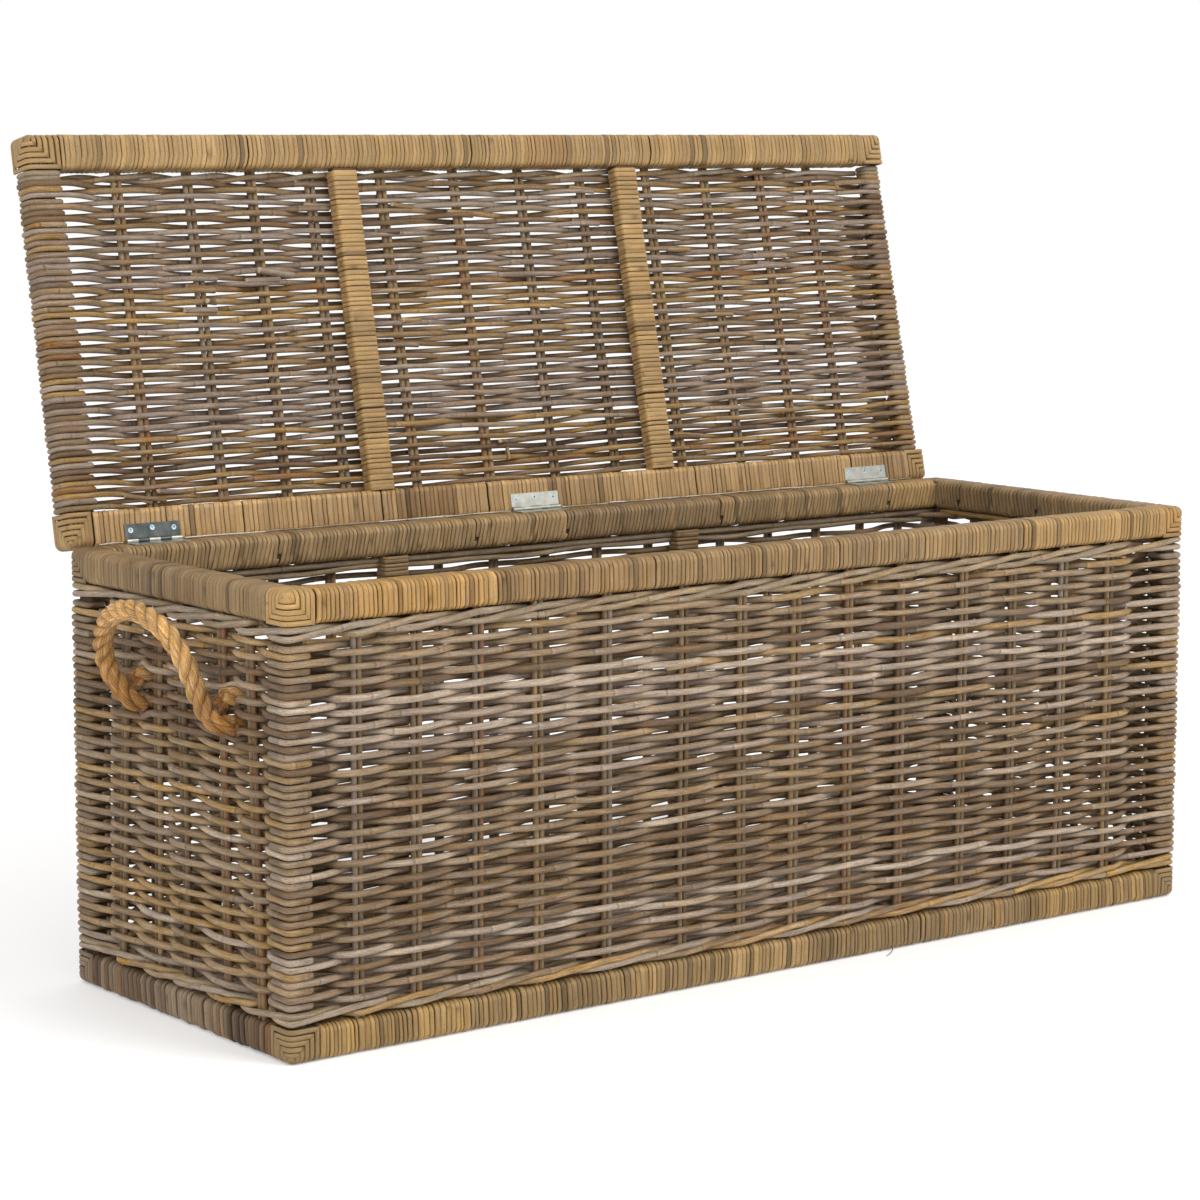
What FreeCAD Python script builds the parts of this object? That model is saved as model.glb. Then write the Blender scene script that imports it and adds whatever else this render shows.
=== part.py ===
import FreeCAD, Part
import math
import os

os.makedirs("parts", exist_ok=True)
V = FreeCAD.Vector

# ---------------------------------------------------------------------------
# Woven rattan storage trunk with a hinged lid and two rope handles.
# Millimetres.  +X along the trunk, front wall towards -Y, +Z up.
# Origin: middle of the footprint, on the face the trunk rests on.
# The lid is drawn closed, then turned about the hinge pins to its open stop.
# ---------------------------------------------------------------------------

# trunk
LENGTH = 1200.0          # outside length of the body
DEPTH = 410.0            # outside depth of the body
HEIGHT = 450.0           # height of the open body, floor to top of rim
RAIL = 34.0              # wrapped rail, square section
WRAP = 3.5               # thickness of the rattan strip wound round a rail
RAIL_R = 8.0             # rounding of a wrapped rail's long edges
POST_IN = 7.0            # corner post set in from the outside faces
POST_W = 18.0            # corner post along X
POST_D = 24.0            # corner post along Y
WALL_IN = 1.0           # woven wall set in from the outside faces
WALL_T = 16.0            # thickness of the woven wall
STAKE_D = 6.0            # round stake
STAKE_GAP = 0.4          # between the two stakes of a pair
MID_POST_X = (-222.0, 180.0)   # wrapped posts inside the long walls
MID_POST_W = 32.0
MID_POST_D = 20.0
SLAT_T = 12.0            # floor slats
SLAT_W = 45.0
SLAT_X = (-330.0, 0.0, 330.0)
FLOOR_T = 14.0

# stake pair centres
FRONT_STAKES = (-516, -450, -377, -303, -219, -122, -44, 26, 101, 175, 265, 339, 415, 490)
BACK_STAKES = (-508, -437, -362, -290, -150, -76, -5, 68, 142, 249, 322, 396, 466, 528)
END_STAKES = (-136, -81, -6, 44, 112)

# lid
LID_LENGTH = 1178.0
LID_SHIFT = -8.5         # the lid sits a little to the left of the body
LID_DEPTH = 426.5
LID_REAR_IN = 3.0        # its rear face, in from the body's
LID_T = 32.0             # thickness of the lid's frame
LID_RAIL = 37.0          # front and rear rail, front to rear
LID_GAP = 5.0            # between rim and lid, taken up by the hinge knuckles
LID_OPEN = 102.1         # opening angle, where the hinges stop
# wound side: width, core in from the end, core width; core's and winding's heights above the frame's underside
LID_SIDE = {"left": (41.0, 5.5, 29.5, 6.0, 26.0, 0.0), "right": (26.6, 6.3, 14.0, 16.0, 26.0, 9.5)}
LID_CORNER = {("left", "front"): 40.0, ("left", "back"): 28.5,
              ("right", "front"): 35.0, ("right", "back"): 35.0}    # wound corners, along X
LID_BAR_X = (-211.0, 176.0)
LID_BAR_W = 32.0
LID_WEAVE_T = 14.0
LID_STAKES = (-483, -397, -318, -244, -151, -53, 38, 124, 222, 310, 395, 472)

# hinges: 65 x 35 butt hinges
HINGE_X = (-503.0, -14.0, 480.0)
HINGE_W = 65.0
LEAF = 17.5              # pin axis to the leaf's edge
LEAF_T = 1.0
KNUCKLE_R = 2.2
BORE_R = 1.25
PIN_R = 1.2
PIN_IN = 6.0             # pin in from the rear face
SCREW_OFF = ((-25.5, 11.0), (0.0, 12.4), (25.5, 11.0))
SCREW_R = 1.4
SCREW_HEAD_R = 2.9
SCREW_LEN = 16.0

# rope handles
ROPE_D = 20.0
ROPE_AXIS_OUT = 11.0     # swing axis, out from the end wall
ROPE_Z = 311.0
ROPE_LEAN = 18.0         # degrees the loop leans out from upright
ROPE_ROUTE = ((62, 0), (77, 19), (90, 35), (84, 63), (55, 93), (8, 110),
              (-43, 102), (-75, 75), (-80, 32), (-88, 9), (-106, 0))
TAIL_Y = (60.5, -103.0)
TAIL_RISE = 27.0
HOLE_R = 10.6

L2, D2 = LENGTH / 2.0, DEPTH / 2.0
PIN_Y = D2 - PIN_IN
PIN_Z = HEIGHT + LID_GAP / 2.0


def box(x0, x1, y0, y1, z0, z1):
    return Part.makeBox(x1 - x0, y1 - y0, z1 - z0, V(x0, y0, z0))


def rounded(axis, a0, a1, b0, b1, c0, c1, r):
    """A bar along axis from a0 to a1 with its four long edges rounded.
    b and c run along the two other axes in X, Y, Z order."""
    def p(b, c):
        if axis == "x":
            return V(a0, b, c)
        if axis == "y":
            return V(b, a0, c)
        return V(b, c, a0)
    k = r * (1 - math.sqrt(0.5))
    pts = [
        (p(b0 + r, c0), p(b1 - r, c0)), (p(b1 - r, c0), p(b1 - k, c0 + k), p(b1, c0 + r)),
        (p(b1, c0 + r), p(b1, c1 - r)), (p(b1, c1 - r), p(b1 - k, c1 - k), p(b1 - r, c1)),
        (p(b1 - r, c1), p(b0 + r, c1)), (p(b0 + r, c1), p(b0 + k, c1 - k), p(b0, c1 - r)),
        (p(b0, c1 - r), p(b0, c0 + r)), (p(b0, c0 + r), p(b0 + k, c0 + k), p(b0 + r, c0)),
    ]
    edges = [Part.LineSegment(*q).toShape() if len(q) == 2 else Part.Arc(*q).toShape() for q in pts]
    face = Part.Face(Part.Wire(edges))
    d = {"x": V(a1 - a0, 0, 0), "y": V(0, a1 - a0, 0), "z": V(0, 0, a1 - a0)}[axis]
    s = face.extrude(d)
    return s if s.Volume > 0 else s.reversed()


def soften(block, sx, sy):
    """Round the block's long edges on its outer sides, sx and sy, as the rails beside it are."""
    b = block.BoundBox
    x0, x1 = (b.XMin, b.XMax + 30) if sx < 0 else (b.XMin - 30, b.XMax)
    y0, y1 = (b.YMin, b.YMax + 30) if sy < 0 else (b.YMin - 30, b.YMax)
    along_x = rounded("x", b.XMin - 1, b.XMax + 1, y0, y1, b.ZMin, b.ZMax, RAIL_R)
    along_y = rounded("y", b.YMin - 1, b.YMax + 1, x0, x1, b.ZMin, b.ZMax, RAIL_R)
    return block.common(along_x).common(along_y)


def group(shapes):
    return Part.makeCompound(shapes)


def cyl(p, d, r, h):
    return Part.makeCylinder(r, h, p, d)


nodes = {}


def put(name, shapes):
    shapes = shapes if isinstance(shapes, (list, tuple)) else [shapes]
    solids = []
    for s in shapes:
        solids += s.Solids
    for s in solids:
        assert s.isValid() and s.Volume > 0, name
    nodes[name] = solids


# ---------------------------------------------------------------------------
# screws, used both as pieces and to drill the rails
# ---------------------------------------------------------------------------
def screw(x, y, z, down):
    """Countersunk screw whose flat head is flush with the leaf at (x, y, z)."""
    d = V(0, 0, -1 if down else 1)
    head = Part.makeCone(SCREW_HEAD_R, SCREW_R, 1.6, V(x, y, z), d)
    shank = cyl(V(x, y, z), d, SCREW_R, SCREW_LEN)
    return head.fuse(shank).removeSplitter()


body_screws = [screw(hx + dx, PIN_Y - off, HEIGHT + LEAF_T, True)
               for hx in HINGE_X for dx, off in SCREW_OFF]
lid_z0 = HEIGHT + LID_GAP
lid_z1 = lid_z0 + LID_T
lid_screws = [screw(hx + dx, PIN_Y - off, lid_z0 - LEAF_T, False)
              for hx in HINGE_X for dx, off in SCREW_OFF]

def corner_post(sx, sy, za, zb):
    px0, px1 = sorted((sx * (L2 - POST_IN), sx * (L2 - POST_IN - POST_W)))
    py0, py1 = sorted((sy * (D2 - POST_IN), sy * (D2 - POST_IN - POST_D)))
    return rounded("z", za, zb, px0, px1, py0, py1, 4.0)


# ---------------------------------------------------------------------------
# body frame: base and rim, each of four wrapped rails, butted to the corner
# posts, and four wound corners
# ---------------------------------------------------------------------------
END_X = L2 - POST_IN - POST_W      # long rails' cores end on the posts' sides
END_Y = D2 - POST_IN - POST_D      # end rails' cores end on the posts' inner faces
for level, z0 in (("base", 0.0), ("rim", HEIGHT - RAIL)):
    z1 = z0 + RAIL
    c0, c1 = z0 + WRAP, z1 - WRAP
    ends = {
        "front": ("x", L2 - RAIL, END_X, -D2, -D2 + RAIL),
        "back": ("x", L2 - RAIL, END_X, D2 - RAIL, D2),
        "left": ("y", D2 - RAIL, END_Y, -L2, -L2 + RAIL),
        "right": ("y", D2 - RAIL, END_Y, L2 - RAIL, L2),
    }
    cores = []
    for side, (ax, a, e, b0, b1) in ends.items():
        core = rounded(ax, -e, e, b0 + WRAP, b1 - WRAP, c0, c1, RAIL_R - WRAP)
        wrap = rounded(ax, -a, a, b0, b1, z0, z1, RAIL_R).cut(core)
        if level == "rim" and side == "back":
            drill = group(body_screws)
            core = core.cut(drill)
            wrap = wrap.cut(drill)
        cores.append(core)
        if level == "rim":
            put("rim_%s_rail" % side, core)
        put("%s_%s_rail_wrap" % (level, side), wrap)
    if level == "base":
        put("base_rails", cores)
    corners = []
    for sx in (-1, 1):
        for sy in (-1, 1):
            xa, xb = sorted((sx * L2, sx * (L2 - RAIL)))
            ya, yb = sorted((sy * D2, sy * (D2 - RAIL)))
            block = box(xa, xb, ya, yb, z0, z1)
            outer = [e for e in block.Edges
                     if abs(e.Vertexes[0].X - sx * L2) < 1e-6 and abs(e.Vertexes[1].X - sx * L2) < 1e-6
                     and abs(e.Vertexes[0].Y - sy * D2) < 1e-6 and abs(e.Vertexes[1].Y - sy * D2) < 1e-6]
            block = soften(block.makeFillet(12.0, outer), sx, sy)
            block = block.cut(corner_post(sx, sy, WRAP, HEIGHT - WRAP)).cut(group(cores))
            corners.append(block)
            assert len(corners[-1].Solids) == 1
    put("%s_corner_wraps" % level, corners)

put("corner_posts", [corner_post(sx, sy, WRAP, HEIGHT - WRAP) for sx in (-1, 1) for sy in (-1, 1)])

# wrapped posts behind the long walls, standing between base and rim
mid_posts, post_wraps = [], []
for x in MID_POST_X:
    for ny, sy in (("front", -1), ("back", 1)):
        a = D2 - WALL_IN - WALL_T
        y0, y1 = sorted((sy * a, sy * (a - MID_POST_D)))
        core = rounded("z", RAIL, HEIGHT - RAIL, x - MID_POST_W / 2 + 3, x + MID_POST_W / 2 - 3, y0 + 3, y1 - 3, 2.0)
        wrap = rounded("z", RAIL, HEIGHT - RAIL, x - MID_POST_W / 2, x + MID_POST_W / 2, y0, y1, 4.0).cut(core)
        mid_posts.append(core)
        post_wraps.append(wrap)
put("mid_posts", mid_posts)
put("mid_post_wraps", post_wraps)

# ---------------------------------------------------------------------------
# woven walls over paired stakes
# ---------------------------------------------------------------------------
def pair_offsets():
    h = (STAKE_D + STAKE_GAP) / 2.0
    return (-h, h)


slot_w = 2 * STAKE_D + STAKE_GAP + 1.0
wz0, wz1 = RAIL, HEIGHT - RAIL
for side, sy, stakes in (("front", -1, FRONT_STAKES), ("back", 1, BACK_STAKES)):
    y0, y1 = sorted((sy * (D2 - WALL_IN), sy * (D2 - WALL_IN - WALL_T)))
    ym = (y0 + y1) / 2.0
    wall = box(-L2 + RAIL, L2 - RAIL, y0, y1, wz0, wz1)
    wall = wall.cut(group([box(x - slot_w / 2, x + slot_w / 2, ym - 3.3, ym + 3.3, wz0, wz1) for x in stakes]))
    put("%s_wall_weave" % side, wall)
    put("%s_stakes" % side, [cyl(V(x + o, ym, wz0), V(0, 0, 1), STAKE_D / 2, wz1 - wz0)
                             for x in stakes for o in pair_offsets()])

for side, sx in (("left", -1), ("right", 1)):
    x0, x1 = sorted((sx * (L2 - WALL_IN), sx * (L2 - WALL_IN - WALL_T)))
    xm = (x0 + x1) / 2.0
    # the right-hand end is the left-hand end turned half round
    ys = [-sx * y for y in END_STAKES]
    wall = box(x0, x1, -D2 + RAIL, D2 - RAIL, wz0, wz1)
    wall = wall.cut(group([box(xm - 3.3, xm + 3.3, y - slot_w / 2, y + slot_w / 2, wz0, wz1) for y in ys]))
    holes = []
    for (hy, ty) in ((ROPE_ROUTE[0][0], TAIL_Y[0]), (ROPE_ROUTE[-1][0], TAIL_Y[1])):
        holes.append(cyl(V(-L2 - 5, hy, ROPE_Z), V(1, 0, 0), HOLE_R, 40))
        holes.append(cyl(V(-L2 - 5, ty, ROPE_Z + TAIL_RISE), V(1, 0, 0), HOLE_R, 40))
    holes = group(holes)
    if sx > 0:
        holes.rotate(V(0, 0, 0), V(0, 0, 1), 180)
    wall = wall.cut(holes)
    put("%s_wall_weave" % side, wall)
    rods = [cyl(V(xm, y + o, wz0), V(0, 0, 1), STAKE_D / 2, wz1 - wz0) for y in ys for o in pair_offsets()]
    put("%s_stakes" % side, rods)

corner_weave = []
for sx in (-1, 1):
    for sy in (-1, 1):
        xa, xb = sorted((sx * (L2 - WALL_IN), sx * (L2 - RAIL)))
        ya, yb = sorted((sy * (D2 - WALL_IN), sy * (D2 - RAIL)))
        block = box(xa, xb, ya, yb, wz0, wz1)
        outer = [e for e in block.Edges
                 if abs(e.Vertexes[0].X - e.Vertexes[1].X) < 1e-6 and abs(e.Vertexes[0].Y - e.Vertexes[1].Y) < 1e-6
                 and abs(abs(e.Vertexes[0].X) - (L2 - WALL_IN)) < 1e-6 and abs(abs(e.Vertexes[0].Y) - (D2 - WALL_IN)) < 1e-6]
        block = block.makeFillet(5.0, outer).cut(corner_post(sx, sy, wz0, wz1))
        assert len(block.Solids) == 1
        corner_weave.append(block)
put("corner_weave", corner_weave)

# ---------------------------------------------------------------------------
# floor: three slats under a woven panel
# ---------------------------------------------------------------------------
for name, x in zip(("left", "middle", "right"), SLAT_X):
    put("floor_slat_%s" % name, box(x - SLAT_W / 2, x + SLAT_W / 2, -D2 + RAIL, D2 - RAIL, 0, SLAT_T))
put("floor_weave", box(-L2 + RAIL, L2 - RAIL, -D2 + RAIL, D2 - RAIL, SLAT_T, SLAT_T + FLOOR_T))

# ---------------------------------------------------------------------------
# lid, closed position
# ---------------------------------------------------------------------------
lx0, lx1 = LID_SHIFT - LID_LENGTH / 2, LID_SHIFT + LID_LENGTH / 2
ly1 = D2 - LID_REAR_IN
ly0 = ly1 - LID_DEPTH
lid = {}
lid_drill = group(lid_screws)
for side, y0 in (("front", ly0), ("back", ly1 - LID_RAIL)):
    y1 = y0 + LID_RAIL
    xa, xb = lx0 + LID_CORNER["left", side], lx1 - LID_CORNER["right", side]
    core = rounded("x", xa, xb, y0 + WRAP, y1 - WRAP, lid_z0 + WRAP, lid_z1 - WRAP, RAIL_R - WRAP)
    wrap = rounded("x", xa, xb, y0, y1, lid_z0, lid_z1, RAIL_R).cut(core)
    if side == "back":
        core = core.cut(lid_drill)
        wrap = wrap.cut(lid_drill)
    lid["lid_%s_rail" % side] = [core]
    lid["lid_%s_rail_wrap" % side] = [wrap]
lid_corners = []
for side, sx in (("left", -1), ("right", 1)):
    for end, sy, ya, yb in (("front", -1, ly0, ly0 + LID_RAIL), ("back", 1, ly1 - LID_RAIL, ly1)):
        w = LID_CORNER[side, end]
        xa, xb = (lx0, lx0 + w) if sx < 0 else (lx1 - w, lx1)
        lid_corners.append(soften(box(xa, xb, ya, yb, lid_z0, lid_z1), sx, sy))
lid["lid_corner_wraps"] = lid_corners
side_weave = []
for side, sx, edge in (("left", -1, lx0), ("right", 1, lx1)):
    width, core_in, core_w, ca, cb, wa = LID_SIDE[side]
    xa, xb = sorted((edge - sx * core_in, edge - sx * (core_in + core_w)))
    core = rounded("y", ly0 + LID_RAIL, ly1 - LID_RAIL, xa, xb, lid_z0 + ca, lid_z0 + cb, 4.5)
    lid["lid_%s_rail" % side] = [core]
    xa, xb = sorted((edge, edge - sx * width))
    side_weave.append(rounded("y", ly0 + LID_RAIL, ly1 - LID_RAIL, xa, xb, lid_z0 + wa, lid_z1, 9.0).cut(core))
lid["lid_side_weave"] = side_weave
px0, px1 = lx0 + LID_SIDE["left"][0], lx1 - LID_SIDE["right"][0]
pz0, pz1 = lid_z1 - LID_WEAVE_T, lid_z1
pzm = (pz0 + pz1) / 2.0
panel = box(px0, px1, ly0 + LID_RAIL, ly1 - LID_RAIL, pz0, pz1)
panel = panel.cut(group([box(x - slot_w / 2, x + slot_w / 2, ly0 + LID_RAIL, ly1 - LID_RAIL, pzm - 3.3, pzm + 3.3)
                         for x in LID_STAKES]))
lid["lid_weave"] = [panel]
lid["lid_stakes"] = [cyl(V(x + o, ly0 + LID_RAIL, pzm), V(0, 1, 0), STAKE_D / 2, LID_DEPTH - 2 * LID_RAIL)
                     for x in LID_STAKES for o in pair_offsets()]
for side, x in zip(("left", "right"), LID_BAR_X):
    a = (x - LID_BAR_W / 2, x + LID_BAR_W / 2)
    core = rounded("y", ly0 + LID_RAIL, ly1 - LID_RAIL, a[0] + 3, a[1] - 3, lid_z0 + 3, pz0 - 3, 2.0)
    wrap = rounded("y", ly0 + LID_RAIL, ly1 - LID_RAIL, a[0], a[1], lid_z0, pz0, 4.5).cut(core)
    lid["lid_%s_bar" % side] = [core]
    lid["lid_%s_bar_wrap" % side] = [wrap]

# ---------------------------------------------------------------------------
# hinges: two leaves with interlocked knuckles and a plain pin
# ---------------------------------------------------------------------------
SEG = HINGE_W / 5.0
GAP = 0.3


def leaf(hx, segments, plate_z0, screws):
    plate = box(hx - HINGE_W / 2, hx + HINGE_W / 2, PIN_Y - LEAF, PIN_Y - KNUCKLE_R - 0.5, plate_z0, plate_z0 + LEAF_T)
    out = plate
    for i in segments:
        a = hx - HINGE_W / 2 + i * SEG + (GAP / 2 if i > 0 else 0)
        b = hx - HINGE_W / 2 + (i + 1) * SEG - (GAP / 2 if i < 4 else 0)
        tab = box(a, b, PIN_Y - KNUCKLE_R - 0.6, PIN_Y, plate_z0, plate_z0 + LEAF_T)
        ring = cyl(V(a, PIN_Y, PIN_Z), V(1, 0, 0), KNUCKLE_R, b - a)
        out = out.fuse(tab.fuse(ring))
    bore = cyl(V(hx - HINGE_W, PIN_Y, PIN_Z), V(1, 0, 0), BORE_R, 2 * HINGE_W)
    out = out.cut(bore).cut(group(screws))
    return out.removeSplitter()


PLATE_LOW = HEIGHT                      # lies on the rim
PLATE_HIGH = HEIGHT + LID_GAP - LEAF_T  # under the lid's rail
pins = []
for i, (name, hx) in enumerate(zip(("left", "middle", "right"), HINGE_X)):
    put("%s_hinge_body_leaf" % name, leaf(hx, (0, 2, 4), PLATE_LOW, body_screws[3 * i:3 * i + 3]))
    lid["%s_hinge_lid_leaf" % name] = [leaf(hx, (1, 3), PLATE_HIGH, lid_screws[3 * i:3 * i + 3])]
    pins.append(cyl(V(hx - HINGE_W / 2, PIN_Y, PIN_Z), V(1, 0, 0), PIN_R, HINGE_W))
put("hinge_pins", pins)
put("body_hinge_screws", body_screws)
lid["lid_hinge_screws"] = lid_screws

# open the lid: its front edge swings up and back about the pins
for name, shapes in lid.items():
    turned = []
    for s in shapes:
        t = s.copy()
        t.rotate(V(0, PIN_Y, PIN_Z), V(1, 0, 0), -LID_OPEN)
        turned.append(t)
    put(name, turned)

# ---------------------------------------------------------------------------
# rope handles
# ---------------------------------------------------------------------------
def tube(points, d, label):
    """Round tube along straight runs joined by tangent arcs."""
    pts = [V(*p) for p in points]
    edges, start, radii = [], pts[0], []
    for i in range(1, len(pts) - 1):
        a, b, c = pts[i - 1], pts[i], pts[i + 1]
        u, w = (a - b), (c - b)
        run = min(u.Length, w.Length)
        u.normalize()
        w.normalize()
        turn = math.pi - u.getAngle(w)
        r = 0.45 * run / math.tan(turn / 2)
        radii.append(round(r, 1))
        t = 0.45 * run
        p0, p1 = b + u * t, b + w * t
        bis = u + w
        bis.normalize()
        mid = b + bis * (r / math.cos(turn / 2) - r)
        edges.append(Part.LineSegment(start, p0).toShape())
        edges.append(Part.Arc(p0, mid, p1).toShape())
        start = p1
    edges.append(Part.LineSegment(start, pts[-1]).toShape())
    wire = Part.Wire(edges)
    t0 = pts[1] - pts[0]
    ring = Part.Wire(Part.Circle(pts[0], t0, d / 2).toShape())
    s = wire.makePipeShell([ring], True, False)
    print(label, "length %.1f" % wire.Length, "radii", radii,
          "volume/section %.4f" % (s.Volume / (math.pi * d * d / 4 * wire.Length)))
    return s


lean = math.radians(ROPE_LEAN)
axis_x = -L2 - ROPE_AXIS_OUT
route = [(axis_x - v * math.sin(lean), y, ROPE_Z + v * math.cos(lean)) for y, v in ROPE_ROUTE]
loop = tube(route, ROPE_D, "handle loop")
for p in (route[0], route[-1]):
    loop = loop.fuse(Part.makeSphere(ROPE_D / 2, V(*p)))
loop = loop.removeSplitter()

tails = []
for ey, ty in ((ROPE_ROUTE[0][0], TAIL_Y[0]), (ROPE_ROUTE[-1][0], TAIL_Y[1])):
    xa, xb = -L2 - 0.4, -L2 + WALL_IN + WALL_T + 1.0
    r = TAIL_RISE / 2.0
    e = [Part.LineSegment(V(xa, ey, ROPE_Z), V(xb, ey, ROPE_Z)).toShape()]
    my = (ey + ty) / 2.0
    if abs(ey - ty) < 1e-6:
        e.append(Part.Arc(V(xb, ey, ROPE_Z), V(xb + r, my, ROPE_Z + r), V(xb, ty, ROPE_Z + TAIL_RISE)).toShape())
    else:
        rr = math.hypot(ey - ty, TAIL_RISE) / 2.0
        e.append(Part.Arc(V(xb, ey, ROPE_Z), V(xb + rr, my, ROPE_Z + r), V(xb, ty, ROPE_Z + TAIL_RISE)).toShape())
    e.append(Part.LineSegment(V(xb, ty, ROPE_Z + TAIL_RISE), V(-L2 - 4.5, ty, ROPE_Z + TAIL_RISE)).toShape())
    w = Part.Wire(e)
    ring = Part.Wire(Part.Circle(V(xa, ey, ROPE_Z), V(1, 0, 0), ROPE_D / 2).toShape())
    tails.append(w.makePipeShell([ring], True, False))
    print("tail length %.1f" % w.Length)

put("left_handle_rope", loop)
put("left_handle_tails", tails)
turned = loop.copy()
turned.rotate(V(0, 0, 0), V(0, 0, 1), 180)
put("right_handle_rope", turned)
rt = []
for t in tails:
    t = t.copy()
    t.rotate(V(0, 0, 0), V(0, 0, 1), 180)
    rt.append(t)
put("right_handle_tails", rt)

# ---------------------------------------------------------------------------
for name, solids in nodes.items():
    shape = solids[0] if len(solids) == 1 else Part.makeCompound(solids)
    shape.exportStep("parts/%s.step" % name)
print(len(nodes), "nodes")
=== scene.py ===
import math
import bpy
import numpy as np
from mathutils import Matrix, Vector


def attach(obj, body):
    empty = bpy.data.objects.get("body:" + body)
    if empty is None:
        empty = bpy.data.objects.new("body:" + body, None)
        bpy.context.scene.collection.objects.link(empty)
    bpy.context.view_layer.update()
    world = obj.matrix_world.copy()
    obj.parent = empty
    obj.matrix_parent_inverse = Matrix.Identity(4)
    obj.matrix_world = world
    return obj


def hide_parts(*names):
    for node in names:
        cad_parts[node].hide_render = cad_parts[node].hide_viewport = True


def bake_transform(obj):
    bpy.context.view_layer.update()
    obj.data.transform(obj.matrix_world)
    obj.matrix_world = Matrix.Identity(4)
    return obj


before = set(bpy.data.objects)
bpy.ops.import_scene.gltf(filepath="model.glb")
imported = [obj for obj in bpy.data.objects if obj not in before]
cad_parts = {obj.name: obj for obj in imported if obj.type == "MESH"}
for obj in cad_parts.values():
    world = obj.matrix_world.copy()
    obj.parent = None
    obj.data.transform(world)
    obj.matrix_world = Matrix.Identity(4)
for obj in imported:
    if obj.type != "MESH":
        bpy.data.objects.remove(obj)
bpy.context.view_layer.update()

MM = 0.001

# ---------------------------------------------------------------------------
# sizes, as in the CAD model (millimetres)
# ---------------------------------------------------------------------------
L2, D2, H = 600.0, 205.0, 450.0
RAIL = 34.0
PIN_Y, PIN_Z = 199.0, 452.5
LID_OPEN = math.radians(102.1)
LX0, LX1 = -597.5, 580.5
LY0, LY1 = -224.5, 202.0
LZ0, LZ1 = 455.0, 487.0
LRAIL = 37.0
LSIDE = {-1: (5.5, 29.5, 461.0, 481.0), 1: (6.3, 14.0, 471.0, 481.0)}     # side rail core: in from the end, width, z
LCORNER = {(-1, -1): 40.0, (-1, 1): 28.5, (1, -1): 35.0, (1, 1): 35.0}
LID_BARS = (-211.0, 176.0)
MID_POSTS = (-222.0, 180.0)
FRONT_STAKES = [-516, -450, -377, -303, -219, -122, -44, 26, 101, 175, 265, 339, 415, 490]
BACK_STAKES = [-508, -437, -362, -290, -150, -76, -5, 68, 142, 249, 322, 396, 466, 528]
LID_STAKES = [-483, -397, -318, -244, -151, -53, 38, 124, 222, 310, 395, 472]
END_STAKES = [-136, -81, -6, 44, 112]
ROPE_D = 20.0
ROPE_Z = 311.0
AXIS_X = -611.0
LEAN = math.radians(18.0)
ROPE_ROUTE = [(62, 0), (77, 19), (90, 35), (84, 63), (55, 93), (8, 110),
              (-43, 102), (-75, 75), (-80, 32), (-88, 9), (-106, 0)]

# ---------------------------------------------------------------------------
# camera first, at the photograph's angle
# ---------------------------------------------------------------------------
YAW, PITCH, ROLL = math.radians(37.49), math.radians(7.93), math.radians(0.12)
fwd = Vector((math.sin(YAW) * math.cos(PITCH), math.cos(YAW) * math.cos(PITCH), -math.sin(PITCH)))
right = Vector((math.cos(YAW), -math.sin(YAW), 0.0))
up = right.cross(fwd)
r2 = right * math.cos(ROLL) + up * math.sin(ROLL)
u2 = up * math.cos(ROLL) - right * math.sin(ROLL)
cam_data = bpy.data.cameras.new("camera")
cam_data.sensor_fit = "HORIZONTAL"
cam_data.sensor_width = 36.0
cam_data.lens = 102.05
cam_data.clip_start, cam_data.clip_end = 0.05, 60.0
cam = bpy.data.objects.new("camera", cam_data)
bpy.context.scene.collection.objects.link(cam)
m = Matrix.Identity(4)
for k in range(3):
    m[k][0], m[k][1], m[k][2] = r2[k], u2[k], -fwd[k]
m.translation = Vector((-2.2552, -2.8393, 0.8744))
cam.matrix_world = m
bpy.context.scene.camera = cam


# ---------------------------------------------------------------------------
# colours
# ---------------------------------------------------------------------------
def lin(c):
    c = np.asarray(c, float) / 255.0
    return np.where(c <= 0.04045, c / 12.92, ((c + 0.055) / 1.055) ** 2.4)


WEAVE = [((164, 152, 141), .20), ((180, 168, 153), .13), ((155, 139, 117), .18), ((168, 147, 112), .12),
         ((176, 150, 104), .09), ((138, 118, 92), .13), ((118, 99, 79), .08), ((150, 130, 105), .04), ((192, 182, 170), .04)]
LIDWEAVE = [((164, 150, 136), .17), ((180, 168, 152), .11), ((155, 136, 110), .16), ((170, 146, 106), .15),
            ((178, 150, 98), .13), ((138, 114, 84), .14), ((117, 95, 73), .09), ((158, 120, 76), .05)]
WALE = [((172, 158, 142), .34), ((160, 144, 122), .27), ((150, 124, 92), .2), ((190, 158, 100), .19)]
STAKE = [((146, 122, 84), .34), ((166, 138, 90), .26), ((118, 97, 70), .16), ((150, 136, 118), .12), ((158, 114, 70), .12)]
STRIP = [((186, 162, 116), .26), ((176, 154, 112), .24), ((164, 144, 108), .18), ((196, 168, 112), .14),
         ((150, 130, 98), .12), ((186, 148, 88), .06)]
STRIP_GOLD = [((204, 176, 122), .4), ((192, 160, 104), .3), ((184, 152, 100), .3)]
STRIP_GREY = [((158, 140, 112), .4), ((146, 128, 102), .3), ((134, 116, 90), .15), ((168, 150, 116), .15)]
LIDSTRIP = [((192, 166, 118), .36), ((184, 158, 110), .26), ((174, 150, 106), .18), ((200, 174, 124), .12), ((160, 134, 94), .08)]


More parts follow.
